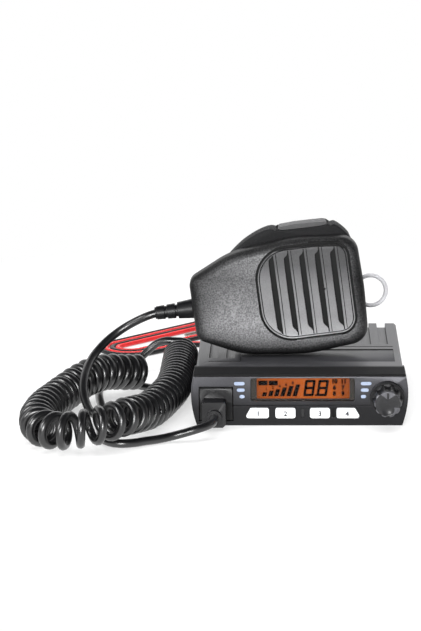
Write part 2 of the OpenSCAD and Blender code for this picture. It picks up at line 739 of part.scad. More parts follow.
// Moulded bezel with openings for the window, buttons, lights, knob and plug
module front_bezel() color("dimgray") difference() {
    union() {
        difference() {
            union() {
                along_y(face_step, bezel_d) bezel_outline(0);
                along_y(0, face_step + eps) bezel_outline(face_step);
            }
            along_y(face_t, bezel_d + 1) bezel_outline(bezel_wall);
        }
        for (sx = [-1, 1]) rod_x(side_screw_y, side_screw_z, side_head_d + 2,
            sx > 0 ? tongue_x + 0.05 : -half_bezel + 0.9, sx > 0 ? half_bezel - 0.9 : -tongue_x - 0.05);
    }
    along_y(-1, face_t + 1) translate([window_x, window_z]) soft_rect(window_w, window_h, 1.4);
    for (number = [1:4]) along_y(-1, face_t + 1) button_outline(number, button_gap);
    for (side = [-1, 1]) for (row = [0:2]) along_y(-1, face_t + 1) light_outline(side, row, snug);
    along_y(-1, face_t + 1) translate([button_row_x, button_z]) rotate(90) pill(button_h - 0.4, slit_w);
    rod_y(knob_x, knob_z, bushing_d + 0.4, -1, face_t + 1);
    block(jack_x - recess_w / 2, jack_x + recess_w / 2, -1, face_t + 1, jack_z - recess_h / 2, jack_z + recess_h / 2);
    block(divider_left, divider_right, -1, 0.4, divider_z - divider_w / 2, divider_z + divider_w / 2);
    for (sx = [-1, 1]) {
        rod_x(side_screw_y, side_screw_z, side_screw_d + 0.4, sx * tongue_x - 2, sx * tongue_x + 4);
        rod_x(side_screw_y, side_screw_z, side_head_d + 0.4,
            sx > 0 ? half_bezel - side_head_t - 0.5 : -half_bezel - 2, sx > 0 ? half_bezel + 2 : -half_bezel + side_head_t + 0.5);
    }
}
module bezel_screws() color("silver") for (sx = [-1, 1]) {
    inner = half_bezel - side_head_t - 0.5;
    rod_x(side_screw_y, side_screw_z, side_head_d,
        sx > 0 ? inner : -inner - side_head_t, sx > 0 ? inner + side_head_t : -inner);
    rod_x(side_screw_y, side_screw_z, side_screw_d,
        sx > 0 ? tongue_x - tongue_t - side_screw_past : -inner - eps,
        sx > 0 ? inner + eps : -tongue_x + tongue_t + side_screw_past);
}

// Display: clear window, liquid crystal glass and the light guide behind it
module display_window() color("lightcyan") along_y(face_step, face_step + 1)
    translate([window_x, window_z]) soft_rect(window_w - 2 * snug, window_h - 2 * snug, 1.3);
module lcd_panel() color("orange") block(
    window_x - window_w / 2 + 1, window_x + window_w / 2 - 1, glass_y, glass_y + glass_t,
    window_z - window_h / 2 + 0.2, window_z + window_h / 2 - 0.4);
module lcd_light_guide() color("white") block(
    window_x - window_w / 2 + 0.6, window_x + window_w / 2 - 0.6, guide_y, board_y - 0.05,
    window_z - window_h / 2 + 0.2, window_z + window_h / 2 - 0.4);

// Buttons, lights and switches
module button(number) color("white") union() {
    along_y(-button_proud, flange_y + 0.2) button_outline(number, 0);
    along_y(flange_y, flange_y + flange_t) button_outline(number, flange_rim);
    along_y(flange_y, stem_back) intersection() {
        button_outline(number, 0);
        translate([button_row_x + (number <= 2 ? -1 : 1) * (number == 1 || number == 4 ? outer_button_x : inner_button_x), button_z])
            square([3, 3], center = true);
    }
}
module lights(side) color("aliceblue") union() {
    inner = window_x + side * (window_w / 2 + light_gap);
    for (row = [0:2]) along_y(-0.1, face_t + 0.3) light_outline(side, row, 0);
    block(
        side > 0 ? inner - 0.1 : inner - light_long - 0.1, side > 0 ? inner + light_long + 0.1 : inner + 0.1,
        face_t + snug, board_y - 0.05, light_top_z - 2 * light_pitch - light_h / 2, light_top_z + light_h / 2);
}
module status_light() color("aliceblue") {
    along_y(-0.05, face_t + 0.3) translate([button_row_x, button_z]) rotate(90) pill(button_h - 0.7, slit_w - 0.3);
    along_y(face_t + snug, board_y - 0.05) translate([button_row_x, button_z]) square([slit_w + 0.8, button_h], center = true);
}
module tact_switches() color("black") for (side = [-1, 1]) for (x = [inner_button_x, outer_button_x])
    translate([button_row_x + side * x, 0, button_z]) {
        block(-3, 3, switch_y + 0.5, board_y, -2.2, 2.2);
        rod_y(0, 0, 2.4, switch_y, switch_y + 0.6);
    }
module front_board() color("green") block(
    jack_x + jack_w / 2 + 1.4, half_bezel - 3.6, board_y, board_y + board_t, 2.2, case_h - 2.2);

// Knob, its shaft and the push encoder
module channel_knob() color("dimgray") difference() {
    union() {
        rod_y(knob_x, knob_z, skirt_d, skirt_back - skirt_t, skirt_back);
        translate([knob_x, skirt_back - skirt_t + eps, knob_z]) rotate([90, 0, 0])
            cylinder(d1 = knob_d + 1.6, d2 = knob_d, h = knob_out + skirt_back - skirt_t - 0.6 + eps);
        translate([knob_x, -knob_out + 0.6 + eps, knob_z]) rotate([90, 0, 0])
            cylinder(d1 = knob_d, d2 = knob_d - 1.2, h = 0.6 + eps);
    }
    for (k = [0:flute_count - 1]) translate([knob_x, 0, knob_z]) rotate([0, 360 * (k + 0.5) / flute_count, 0])
        translate([knob_d / 2 + flute_r - 0.7, skirt_back - skirt_t - 0.4, 0]) rotate([90, 0, 0])
            cylinder(r = flute_r, h = knob_out);
    difference() {
        rod_y(knob_x, knob_z, shaft_d + 2 * shaft_clearance, -knob_out + 2.6, skirt_back + 1);
        block(knob_x - shaft_d, knob_x + shaft_d, -knob_out, skirt_back - skirt_t, knob_z + shaft_d / 3 + shaft_clearance, knob_z + shaft_d);
    }
    translate([knob_x, -knob_out - 5.2, knob_z - knob_d / 5]) sphere(r = 6, $fn = 48);
    block(knob_x - 0.45, knob_x + 0.45, -knob_out - 1, -knob_out + 0.5, knob_z + knob_d / 5, knob_z + knob_d / 2 - 1);
}
module knob_shaft() color("silver") difference() {
    rod_y(knob_x, knob_z, shaft_d, -knob_out + 3, shaft_back);
    block(knob_x - shaft_d, knob_x + shaft_d, -knob_out, skirt_back - skirt_t + 0.1, knob_z + shaft_d / 3, knob_z + shaft_d);
}
module encoder_slider() color("ivory") difference() {
    rod_y(knob_x, knob_z, slider_d, slider_y, slider_y + slider_t);
    rod_y(knob_x, knob_z, shaft_d + 2 * shaft_clearance, slider_y - 1, slider_y + slider_t + 1);
}
module encoder_housing() color("silver") difference() {
    union() {
        block(knob_x - encoder_w / 2, knob_x + encoder_w / 2, encoder_y, board_y, knob_z - encoder_w / 2, knob_z + encoder_w / 2);
        rod_y(knob_x, knob_z, bushing_d, 0.3, encoder_y + eps);
    }
    rod_y(knob_x, knob_z, shaft_d + 2 * shaft_clearance, -1, encoder_y + 2);
    rod_y(knob_x, knob_z, slider_d + 0.3, slider_y - 0.2, pocket_back);
}

// Microphone socket in the bezel, the plug in it and the plug's inner tongue
module mic_socket() color("black") difference() {
    block(jack_x - jack_w / 2, jack_x + jack_w / 2, jack_y, jack_y + jack_d, jack_z - jack_h / 2, jack_z + jack_h / 2);
    block(jack_x - tongue_w / 2 - plug_gap, jack_x + tongue_w / 2 + plug_gap, jack_y - 1, jack_y + jack_d - 1,
        jack_z - tongue_h / 2 - plug_gap, jack_z + tongue_h / 2 + plug_gap);
}
module plug_tongue() color("lightgray") block(
    jack_x - tongue_w / 2, jack_x + tongue_w / 2, plug_back, jack_y + jack_d - 1.4,
    jack_z - tongue_h / 2, jack_z + tongue_h / 2);
module mic_plug() color("black") union() {
    block(jack_x - recess_w / 2 + plug_fit, jack_x + recess_w / 2 - plug_fit, plug_fit, plug_back,
        jack_z - recess_h / 2 + plug_fit, jack_z + recess_h / 2 - plug_fit);
    for (k = [0:ridge_count - 1]) block(
        jack_x + (k - (ridge_count - 1) / 2) * ridge_pitch - 0.3, jack_x + (k - (ridge_count - 1) / 2) * ridge_pitch + 0.3,
        plug_shoulder_front - 0.3, plug_shoulder_front + eps, jack_z + recess_h / 2 - 2.6, jack_z + recess_h / 2 - 1.5);
    block(jack_x - recess_w / 2 + 0.5, jack_x + recess_w / 2 - 0.4, plug_shoulder_front, plug_back,
        jack_z + 1, jack_z + recess_h / 2 - 0.7);
    block(jack_x + plug_low_left, jack_x + plug_low_right, plug_shoulder_front - 1, plug_back,
        jack_z - recess_h / 2 + 0.7, jack_z + 1 + eps);
    along_y(plug_front, plug_shoulder_front) polygon([
        [jack_x + plug_low_left, plug_low_z + 1.3], [jack_x + plug_low_left + 1.3, plug_low_z],
        [jack_x + plug_low_right - 1.3, plug_low_z], [jack_x + plug_low_right, plug_low_z + 1.3],
        [jack_x + plug_low_right, plug_high_z - 0.8], [jack_x + plug_low_right - 0.8, plug_high_z],
        [jack_x + plug_low_left + 0.8, plug_high_z], [jack_x + plug_low_left, plug_high_z - 0.8],
    ]);
    rod_y(plug_exit_x, plug_exit_z, plug_boss_d, plug_exit_y, plug_front + eps);
}

// Boards and parts inside the case
module main_board() color("green") difference() {
    block(-main_board_x, main_board_x, main_board_front, main_board_back, main_board_z, main_board_top);
    for (sx = [-1, 1]) for (y = [post_front, post_back]) rod_z(sx * post_x, y, screw_d + 0.4, main_board_z - 1, main_board_top + 1);
}
module board_screws() color("silver") for (sx = [-1, 1]) for (y = [post_front, post_back]) {
    rod_z(sx * post_x, y, screw_head_d, main_board_z - screw_head_t, main_board_z);
    rod_z(sx * post_x, y, screw_d, main_board_z - eps, main_board_top + 4);
}
module shield_can() color("silver") translate([shield_left, speaker_y - shield_ahead, main_board_top]) difference() {
    cube([shield_w, shield_d, shield_h]);
    translate([shield_sheet, shield_sheet, -1])
        cube([shield_w - 2 * shield_sheet, shield_d - 2 * shield_sheet, shield_h - shield_sheet + 1]);
}
module output_transistor() color("black") {
    block(-13, -3, inside_back - 4.5, inside_back, 8, 17);
    for (k = [-1:1]) block(-8.4 + 2.5 * k, -7.6 + 2.5 * k, main_board_back - 2, inside_back - 4.4, main_board_top, main_board_top + 0.6);
}
module board_parts() color("darkblue") translate([0, speaker_y, main_board_top]) {
    for (k = [0:2]) translate([big_part_x + big_part_pitch * k, -8, 0]) cylinder(d = big_part_d, h = big_part_h);
    translate([big_part_x - 2, 4, 0]) cube([long_part_w, long_part_d, long_part_h]);
    for (k = [0:1]) translate([square_part_x + square_part_pitch * k, -6, 0])
        cube([square_part_w, square_part_w, square_part_h]);
}

// Loudspeaker facing the slots in the cover
module speaker_frame() color("gray") translate([speaker_x, speaker_y, cover_t]) rotate_extrude() polygon([
    [speaker_d / 2 - 2.6, 0], [speaker_d / 2, 0], [speaker_d / 2, 1.2], [speaker_d / 2 - 1.6, 1.2],
    [9.2, 5.4], [9.2, 4.4], [speaker_d / 2 - 2.6, 0.9],
]);
module speaker_cone() color("black") translate([speaker_x, speaker_y, cover_t]) rotate_extrude() polygon([
    [0, 3.1], [speaker_d / 2 - 3, 0.4], [speaker_d / 2 - 3, 0.7], [0, 3.6],
]);
module speaker_magnet() color("silver") rod_z(speaker_x, speaker_y, 21, cover_t + 5.4, cover_t + 9.2);

// Rear sockets
module antenna_socket() color("silver") difference() {
    union() {
        rod_y(antenna_x, antenna_z, antenna_flange_d, case_d, case_d + antenna_flange_t);
        rod_y(antenna_x, antenna_z, antenna_d, case_d + antenna_flange_t - eps, case_d + antenna_out);
        rod_y(antenna_x, antenna_z, antenna_neck_d, inside_back - 3.4, case_d + eps);
    }
    rod_y(antenna_x, antenna_z, antenna_bore_d, inside_back - 4, case_d + antenna_out + 1);
}
module antenna_nut() color("silver") difference() {
    translate([antenna_x, inside_back, antenna_z]) rotate([90, 0, 0]) cylinder(d = antenna_nut_d, h = antenna_nut_t, $fn = 6);
    rod_y(antenna_x, antenna_z, antenna_neck_d + 0.1, inside_back - antenna_nut_t - 1, inside_back + 1);
}
module antenna_insulator() color("white") difference() {
    rod_y(antenna_x, antenna_z, antenna_bore_d - 0.1, inside_back - 3.4, case_d + antenna_out - 3);
    rod_y(antenna_x, antenna_z, contact_bore_d + 1.5, inside_back - 4, case_d + antenna_out);
}
module antenna_contact() color("gold") difference() {
    rod_y(antenna_x, antenna_z, contact_bore_d + 1.4, inside_back - 5, case_d + antenna_out - 2);
    rod_y(antenna_x, antenna_z, contact_bore_d, case_d, case_d + antenna_out);
}
module phone_socket() color("black") difference() {
    union() {
        block(phone_x - 3.5, phone_x + 3.5, inside_back - 11.5, inside_back, main_board_top, main_board_top + 5.4);
        rod_y(phone_x, phone_z, phone_nose_d, inside_back - eps, case_d + 1.8);
    }
    rod_y(phone_x, phone_z, phone_bore_d, inside_back - 9, case_d + 3);
}
module phone_nut() color("silver") difference() {
    rod_y(phone_x, phone_z, phone_nut_d, case_d, case_d + 1.5);
    rod_y(phone_x, phone_z, phone_nose_d + 0.1, case_d - 1, case_d + 3);
}
module power_grommet() color("black") union() {
    rod_y(power_x, power_z, grommet_hole_d + 3, case_d, case_d + 2);
    rod_y(power_x, power_z, grommet_hole_d - 0.1, inside_back, case_d + eps);
    rod_y(power_x, power_z, grommet_hole_d + 2 * grommet_lip, inside_back - 1.6, inside_back);
    translate([power_x, case_d + 2 - eps, power_z]) rotate([-90, 0, 0])
        cylinder(d1 = grommet_hole_d + 0.4, d2 = 2 * wire_d + 1.8, h = grommet_out - 2 + eps);
}

// Microphone shells
module mic_front_solid() loft([for (p = front_profile) mic_ring(p[0], p[1])]);
module mic_front_hollow() loft([for (p = [[edge_round + 1, shell_wall], [edge_round / 2 + 0.4, shell_wall + 0.6],
    [shell_wall, shell_wall + 3.4], [shell_wall, front_shell_d + 1]]) mic_ring(p[0], p[1])]);
module grille_shape(inset) {
    corners = [
        [grille_left + inset, grille_bottom + inset, grille_near_r - inset],
        [grille_right - inset, grille_bottom + inset, grille_far_r - inset],
        [grille_right - inset, grille_top - inset, grille_far_r - inset],
        [grille_left + inset, grille_top - inset, grille_near_r - inset],
    ];
    polygon([for (i = [0:3]) each corner_arc(corners, i, corner_steps)]);
}
module grille_slot(u) polygon([
    [u - slot_line_w, grille_top], [u - slot_line_w, slot_wide_top + slot_kink], [u - slot_w, slot_wide_top],
    [u - slot_w, slot_wide_bottom], [u - slot_line_w, slot_wide_bottom - slot_kink], [u - slot_line_w, grille_bottom],
    [u, grille_bottom], [u, grille_top],
]);
module mic_face_cut(depth) along_y(-1, depth) children();
module mic_front_shell() color("dimgray") difference() {
    union() {
        difference() {
            mic_front_solid();
            mic_front_hollow();
        }
        for (s = mic_screws_at) rod_y(s[0], s[1], 6, shell_wall - 0.4, front_shell_d);
    }
    for (s = mic_screws_at) rod_y(s[0], s[1], mic_screw_hole_d - 0.3, front_shell_d - 6, front_shell_d + 1);
    mic_face_cut(grille_line_depth) difference() {
        grille_shape(0);
        grille_shape(grille_line_w);
    }
    for (k = [0:slot_count - 1]) mic_face_cut(slot_depth) intersection() {
        grille_shape(grille_line_w + 0.5);
        grille_slot(slot_first_u + k * slot_pitch);
    }
    rod_y(capsule_u, capsule_v, pinhole_d, -1, shell_wall + 1);
    rod_x(boot_y, boot_v, boot_neck_d + 0.2, -1, shell_wall + 2);
}
module hump_outline(share) polygon([for (p = hump_places)
    [hump_mid + share * p.x, hump_base_v + share * (p.y + mic_half - hump_base_v)]]);
module hump() union() {
    along_y(hump_front, hump_back - hump_bevel) hump_outline(0.955);
    along_y(hump_front + hump_bevel, hump_back - 3 * hump_bevel) hump_outline(1);
    along_y(hump_back - 2 * hump_bevel, hump_back) hump_outline(0.91);
}
module mic_rear_shell() color("black") difference() {
    union() {
        difference() {
            loft([for (p = rear_profile) mic_ring(p[0], front_shell_d + p[1] * rear_shell_d)]);
            loft([for (p = rear_profile) mic_ring(p[0] + shell_wall, front_shell_d - 1 + p[1] * (rear_shell_d - shell_wall + 1))]);
        }
        hump();
        for (s = mic_screws_at) rod_y(s[0], s[1], 7, front_shell_d, shell_back - 1);
        block(staple_u - staple_l / 2, staple_u + staple_l / 2, shell_back - 8, ring_y + ring_wire_d / 2 + 1.6,
            ring_v - staple_w / 2, ring_v + staple_w / 2);
    }
    block(key_slot_left, key_slot_right, key_slot_front, key_slot_back, key_slot_floor - 6, mic_half + 9);
    along_y(hump_front - 1, key_slot_front + eps) translate([hump_mid, mic_half]) polygon([
        [-13.8, 5.2], [-9.9, 2.8], [0, 2.5], [9.6, 2.6], [13.4, 4.4], [13.4, 12], [-13.8, 12],
    ]);
    rod_y(key_pin_u, key_pin_v, key_pin_d, hump_front + 0.8, hump_back - 0.8);
    for (s = mic_screws_at) {
        rod_y(s[0], s[1], mic_screw_hole_d + 0.2, front_shell_d - 1, shell_back + 1);
        rod_y(s[0], s[1], 5.4, mic_screw_bore_y, shell_back + 1);
    }
    translate([staple_u, ring_y, ring_v - staple_w]) cylinder(d = staple_hole_d, h = 2 * staple_w);
    rod_x(boot_y, boot_v, boot_neck_d + 0.2, -1, shell_wall + 3.5);
}
module mic_screws() color("silver") for (s = mic_screws_at) {
    rod_y(s[0], s[1], 5, mic_screw_bore_y, mic_screw_bore_y + 1.8);
    rod_y(s[0], s[1], mic_screw_hole_d - 0.4, front_shell_d - 5, mic_screw_bore_y + eps);
}

// Parts in the microphone
module mic_capsule() color("silver") rod_y(capsule_u, capsule_v, capsule_d, shell_wall + 0.6, shell_wall + 0.6 + capsule_t);
module capsule_boot() color("black") difference() {
    rod_y(capsule_u, capsule_v, capsule_d + 2 * capsule_boot_t + 0.2, shell_wall + 0.05, shell_wall + 0.6 + capsule_t);
    rod_y(capsule_u, capsule_v, capsule_d + 0.2, shell_wall + 0.6, shell_wall + 8);
    rod_y(capsule_u, capsule_v, 4, 0, shell_wall + 8);
}
module mic_board() color("green") difference() {
    block(12.4, mic_len - 8.2, front_shell_d + 0.3, front_shell_d + 1.5, -mic_half + 11.8, key_slot_floor - 7);
    for (s = mic_screws_at) rod_y(s[0], s[1], 7.6, front_shell_d - 1, front_shell_d + 3);
}
module talk_switch() color("dimgray") {
    block(key_slot_right - 15, key_slot_right - 3, front_shell_d + 1.5, front_shell_d + 8, key_slot_floor - 12, key_slot_floor - 6.4);
    block(plunger_right - 2, plunger_right, front_shell_d + 4, front_shell_d + 6, key_slot_floor - 6.5, plunger_top);
}
module talk_key() color("gray") difference() {
    along_y(key_slot_front + key_gap, key_slot_back - key_gap) polygon([
        [key_left, key_top_v - key_h], [key_right, key_top_v - key_h], [key_right, key_top_v - 1.5],
        [key_right - 0.9, key_top_v - 0.7], [hump_mid + 5, key_top_v - 0.1], [hump_mid - 4, key_top_v],
        [key_left + 0.9, key_top_v - 0.4], [key_left, key_top_v - 1.2],
    ]);
    rod_y(key_pin_u, key_pin_v, key_pin_d + 2 * key_pin_clearance, key_slot_front, key_slot_back);
}
module talk_key_pin() color("silver") rod_y(key_pin_u, key_pin_v, key_pin_d - 0.02, hump_front + 1, hump_back - 1);

// Hanging ring and strain relief
module hang_ring() color("silver") translate([ring_u, ring_y, ring_v]) rotate([90, 0, 0])
    rotate_extrude($fn = 64) translate([ring_d / 2, 0]) circle(d = ring_wire_d, $fn = 24);
module mic_boot() color("black") translate([0, boot_y, boot_v]) rotate([0, -90, 0]) difference() {
    union() {
        translate([0, 0, -shell_wall - 1.2]) cylinder(d = boot_neck_d, h = shell_wall + 1.6);
        translate([0, 0, 0.3]) cylinder(d1 = boot_collar_d, d2 = boot_collar_end_d, h = boot_collar_l);
        translate([0, 0, boot_collar_l]) cylinder(d = boot_core_d + 0.4, h = boot_l - boot_collar_l);
        for (k = [0:1]) translate([0, 0, boot_collar_l + 0.3 + boot_rib_gap + (boot_rib_l + boot_rib_gap) * k])
            cylinder(d1 = boot_rib_d - 0.5 * k, d2 = boot_rib_d - 0.4 - 0.5 * k, h = boot_rib_l);
    }
    translate([0, 0, boot_l - boot_mouth]) cylinder(d = boot_mouth_d, h = boot_mouth + 1);
}

// Cords and wires
module mic_lead() color("black") lead(mic_lead_route, cord_d, 8);
module curly_cord() color("black") tube(curl_tube, curl_refs, cord_d, 6);
module plug_lead() color("black") lead(plug_lead_route, cord_d, 8);
module power_wire(side) tube(wire_path(side), [for (p = wire_path(side)) [0, 0, 1]], wire_d, 6);
module power_wire_red() color("red") power_wire(-1);
module power_wire_black() color("black") power_wire(1);
module wire_tips() color("silver") for (side = [-1, 1]) {
    path = wire_path(side);
    last = path[len(path) - 1];
    way = unit(last - path[len(path) - 2]);
    tube([last, last + tip_l * way], [[0, 0, 1], [0, 0, 1]], tip_d, 8);
}

place() chassis();
place() bottom_cover();
place() front_bezel();
place() display_window();
place() lcd_panel();
place() lcd_light_guide();
place() button(1);  // button_1
place() button(2);  // button_2
place() button(3);  // button_3
place() button(4);  // button_4
place() lights(-1);  // left_lights
place() lights(1);  // right_lights
place() status_light();
place() tact_switches();
place() front_board();
place() main_board();
place() shield_can();
place() output_transistor();
place() board_parts();
place() channel_knob();
place() knob_shaft();
place() encoder_slider();
place() encoder_housing();
place() mic_socket();
place() speaker_frame();
place() speaker_cone();
place() speaker_magnet();
place() antenna_socket();
place() antenna_nut();
place() antenna_insulator();
place() antenna_contact();
place() phone_socket();
place() phone_nut();
place() power_grommet();
place() cover_screws();
place() bezel_screws();
place() board_screws();
mic_place() mic_front_shell();
mic_place() mic_rear_shell();
mic_place() mic_capsule();
mic_place() capsule_boot();
mic_place() mic_board();
mic_place() talk_key();
mic_place() talk_key_pin();
mic_place() talk_switch();
mic_place() mic_screws();
mic_place() hang_ring();
mic_place() mic_boot();
place() mic_lead();
place() curly_cord();
place() plug_lead();
place() mic_plug();
place() plug_tongue();
place() power_wire_red();
place() power_wire_black();
place() wire_tips();
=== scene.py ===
import json
import math

import bmesh
import bpy
from mathutils import Matrix, Vector

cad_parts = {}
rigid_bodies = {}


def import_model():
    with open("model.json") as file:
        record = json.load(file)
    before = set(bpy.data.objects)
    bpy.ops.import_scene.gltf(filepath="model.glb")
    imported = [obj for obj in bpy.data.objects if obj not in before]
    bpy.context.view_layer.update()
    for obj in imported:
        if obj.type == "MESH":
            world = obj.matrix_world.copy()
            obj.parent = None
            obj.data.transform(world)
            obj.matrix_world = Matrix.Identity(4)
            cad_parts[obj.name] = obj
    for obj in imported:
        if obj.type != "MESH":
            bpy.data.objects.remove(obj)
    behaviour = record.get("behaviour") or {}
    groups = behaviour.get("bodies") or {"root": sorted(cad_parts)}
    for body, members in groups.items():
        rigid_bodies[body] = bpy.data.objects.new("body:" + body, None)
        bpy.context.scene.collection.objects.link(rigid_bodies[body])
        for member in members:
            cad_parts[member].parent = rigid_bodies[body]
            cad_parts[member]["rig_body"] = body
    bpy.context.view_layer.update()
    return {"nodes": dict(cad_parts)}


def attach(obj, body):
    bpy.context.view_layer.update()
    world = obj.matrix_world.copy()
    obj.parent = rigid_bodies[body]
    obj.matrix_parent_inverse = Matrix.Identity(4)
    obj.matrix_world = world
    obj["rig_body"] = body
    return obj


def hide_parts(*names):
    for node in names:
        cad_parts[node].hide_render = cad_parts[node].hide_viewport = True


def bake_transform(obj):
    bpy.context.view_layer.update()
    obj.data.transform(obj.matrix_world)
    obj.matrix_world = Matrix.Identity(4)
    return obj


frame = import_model()
NODES = frame["nodes"]
BODY_OF = {name: obj["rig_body"] for name, obj in NODES.items()}

# Sizes are in millimetres, with y counted from the bezel's face, 50 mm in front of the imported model's origin
MM = 0.001
FRAME_Y = 50.0


def at(x, y, z):
    """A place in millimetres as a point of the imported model."""
    return Vector((x * MM, (y - FRAME_Y) * MM, z * MM))


def link(name, data):
    obj = bpy.data.objects.new(name, data)
    bpy.context.scene.collection.objects.link(obj)
    return obj


def angles(count):
    return [2 * math.pi * k / count for k in range(count)]


# Material nodes


def colour(r, g, b):
    """A display colour, 0 to 255, as a linear one."""
    def one(c):
        c = c / 255
        return c / 12.92 if c <= 0.04045 else ((c + 0.055) / 1.055) ** 2.4
    return (one(r), one(g), one(b), 1.0)


def cleared(owner):
    """The emptied node tree of a material or a world."""
    owner.use_nodes = True
    owner.node_tree.nodes.clear()
    return owner.node_tree


def add(tree, kind, *feeds, operation=None, **named):
    """A new node. Feeds go to its first inputs and the rest by name, each a link or a plain value."""
    node = tree.nodes.new(kind)
    if operation:
        node.operation = operation
    pairs = list(zip(node.inputs, feeds))
    pairs += [(node.inputs[name.replace("_", " ")], feed) for name, feed in named.items()]
    for socket, feed in pairs:
        if isinstance(feed, bpy.types.NodeSocket):
            tree.links.new(feed, socket)
        else:
            socket.default_value = feed
    return node


def coordinates(tree, kind):
    return tree.nodes.new("ShaderNodeTexCoord").outputs[kind]


def axes_of(tree, place):
    return add(tree, "ShaderNodeSeparateXYZ", place).outputs


def noise_of(tree, place, scale, detail):
    return add(tree, "ShaderNodeTexNoise", place, Scale=scale, Detail=detail).outputs["Fac"]


def math_of(tree, operation, *terms):
    return add(tree, "ShaderNodeMath", *terms, operation=operation).outputs[0]


def span_of(tree, value, start, end, low, high, course="LINEAR"):
    """Goes from low to high while the value goes from start to end, and stays there beyond."""
    node = add(tree, "ShaderNodeMapRange", value, From_Min=start, From_Max=end, To_Min=low, To_Max=high)
    node.interpolation_type = course
    return node.outputs["Result"]


def ramp_of(tree, value, stops):
    node = add(tree, "ShaderNodeValToRGB", value)
    ramp = node.color_ramp
    while len(ramp.elements) < len(stops):
        ramp.elements.new(0.5)
    for element, (position, shade) in zip(ramp.elements, stops):
        element.position = position
        element.color = shade
    return node.outputs["Color"]


def mix_of(tree, share, first, second):
    return add(tree, "ShaderNodeMixShader", share, first, second).outputs["Shader"]


# Where on the noise the dark tone ends and the light one begins
DARK_TO, LIGHT_FROM = 0.36, 0.64


def finish_of(name, light, dark, rough, metal=0.0, grain=1500.0, mottle=90.0, bump=0.05, bump_mm=0.05,
              gloss=0.5, glow=0.0, clear=0.0, index=1.5, fine_share=0.45, uneven=0.07, along=(), dull=()):
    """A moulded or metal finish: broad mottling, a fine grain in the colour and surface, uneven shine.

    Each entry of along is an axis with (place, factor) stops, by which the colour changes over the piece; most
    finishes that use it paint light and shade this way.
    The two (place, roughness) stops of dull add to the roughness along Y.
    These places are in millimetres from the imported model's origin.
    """
    mat = bpy.data.materials.new(name)
    tree = cleared(mat)
    place = coordinates(tree, "Object")
    broad = noise_of(tree, place, mottle, 4.0)
    fine = noise_of(tree, place, grain, 2.0)
    mixed = math_of(tree, "MULTIPLY_ADD", broad, 1 - fine_share, math_of(tree, "MULTIPLY", fine, fine_share))
    shade = ramp_of(tree, mixed, [(DARK_TO, dark), (LIGHT_FROM, light)])
    for axis, stops in along:
        low, high = stops[0][0], stops[-1][0]
        most = max(factor for _, factor in stops)
        reach = span_of(tree, axes_of(tree, place)[axis], low * MM, high * MM, 0, 1)
        greys = [((a - low) / (high - low), (factor / most,) * 3 + (1,)) for a, factor in stops]
        scaled = add(tree, "ShaderNodeVectorMath", shade, ramp_of(tree, reach, greys), operation="MULTIPLY")
        shade = scaled.outputs["Vector"]
    shine = span_of(tree, broad, 0, 1, rough - uneven, rough + uneven)
    if dull:
        (start, first), (end, last) = dull
        more = span_of(tree, axes_of(tree, place)["Y"], start * MM, end * MM, first, last)
        shine = math_of(tree, "ADD", shine, more)
    relief = add(tree, "ShaderNodeBump", Strength=bump, Distance=bump_mm * MM, Height=fine)
    shader = add(tree, "ShaderNodeBsdfPrincipled", Base_Color=shade, Metallic=metal, Roughness=shine,
                 IOR=index, Specular_IOR_Level=gloss, Coat_Weight=clear, Normal=relief.outputs["Normal"])
    if glow:
        tree.links.new(shade, shader.inputs["Emission Color"])
        shader.inputs["Emission Strength"].default_value = glow
    add(tree, "ShaderNodeOutputMaterial", shader.outputs["BSDF"])
    return mat


def window_of(name, tint, rough, least, most):
    """Clear plastic whose shine varies from least to most."""
    mat = bpy.data.materials.new(name)
    tree = cleared(mat)
    through = add(tree, "ShaderNodeBsdfTransparent", Color=tint)
    shine = add(tree, "ShaderNodeBsdfGlossy", Roughness=rough)
    smear = noise_of(tree, coordinates(tree, "Object"), 160.0, 3.0)
    share = span_of(tree, smear, 0, 1, least, most)
    add(tree, "ShaderNodeOutputMaterial", mix_of(tree, share, through.outputs["BSDF"], shine.outputs["BSDF"]))
    return mat


# Finishes of the radio

# The case's colour drops to a sixth towards the front of the roof and on the bezel's top, which it also
# finishes: painted shade there, where the roughness rises too
CASE = finish_of("case_paint", colour(62, 62, 65), colour(50, 50, 53), 0.36, grain=1600, bump_mm=0.03,
                 index=1.42, uneven=0.03, fine_share=0.7, along=[("Y", ((-37, 0.16), (-34, 1.0)))],
                 dull=((-37, 0.5), (-34, 0.0)))
# The bezel's colour is darker low on its face and at its very top than across the upper face: painted shade
BEZEL = finish_of("bezel_plastic", colour(87, 87, 91), colour(73, 73, 77), 0.35, metal=0.6, grain=1900,
                  bump=0.12, along=[("Z", ((0, 0.16), (8.5, 0.18), (12, 0.4), (21, 1.0), (23.8, 1.0),
                                           (24.5, 0.1), (26, 0.1)))])
GROOVE = finish_of("groove_shade", colour(15, 15, 16), colour(9, 9, 10), 0.6, bump=0.2, gloss=0.3)
# The knob's colour falls off behind its front face, darkening its sides: painted shade
KNOB = finish_of("knob_plastic", colour(104, 104, 108), colour(90, 90, 94), 0.4, metal=0.5, grain=1800,
                 bump=0.08, along=[("Y", ((-67, 1.0), (-62.75, 1.0), (-62.2, 0.4), (-60.5, 0.12),
                                          (-50, 0.08)))])
# Dark colour for the knob's dimple and pointer recesses: painted shade
DIMPLE_SHADE = finish_of("knob_dimple_shade", colour(40, 40, 42), colour(30, 30, 32), 0.36, bump=0.03)
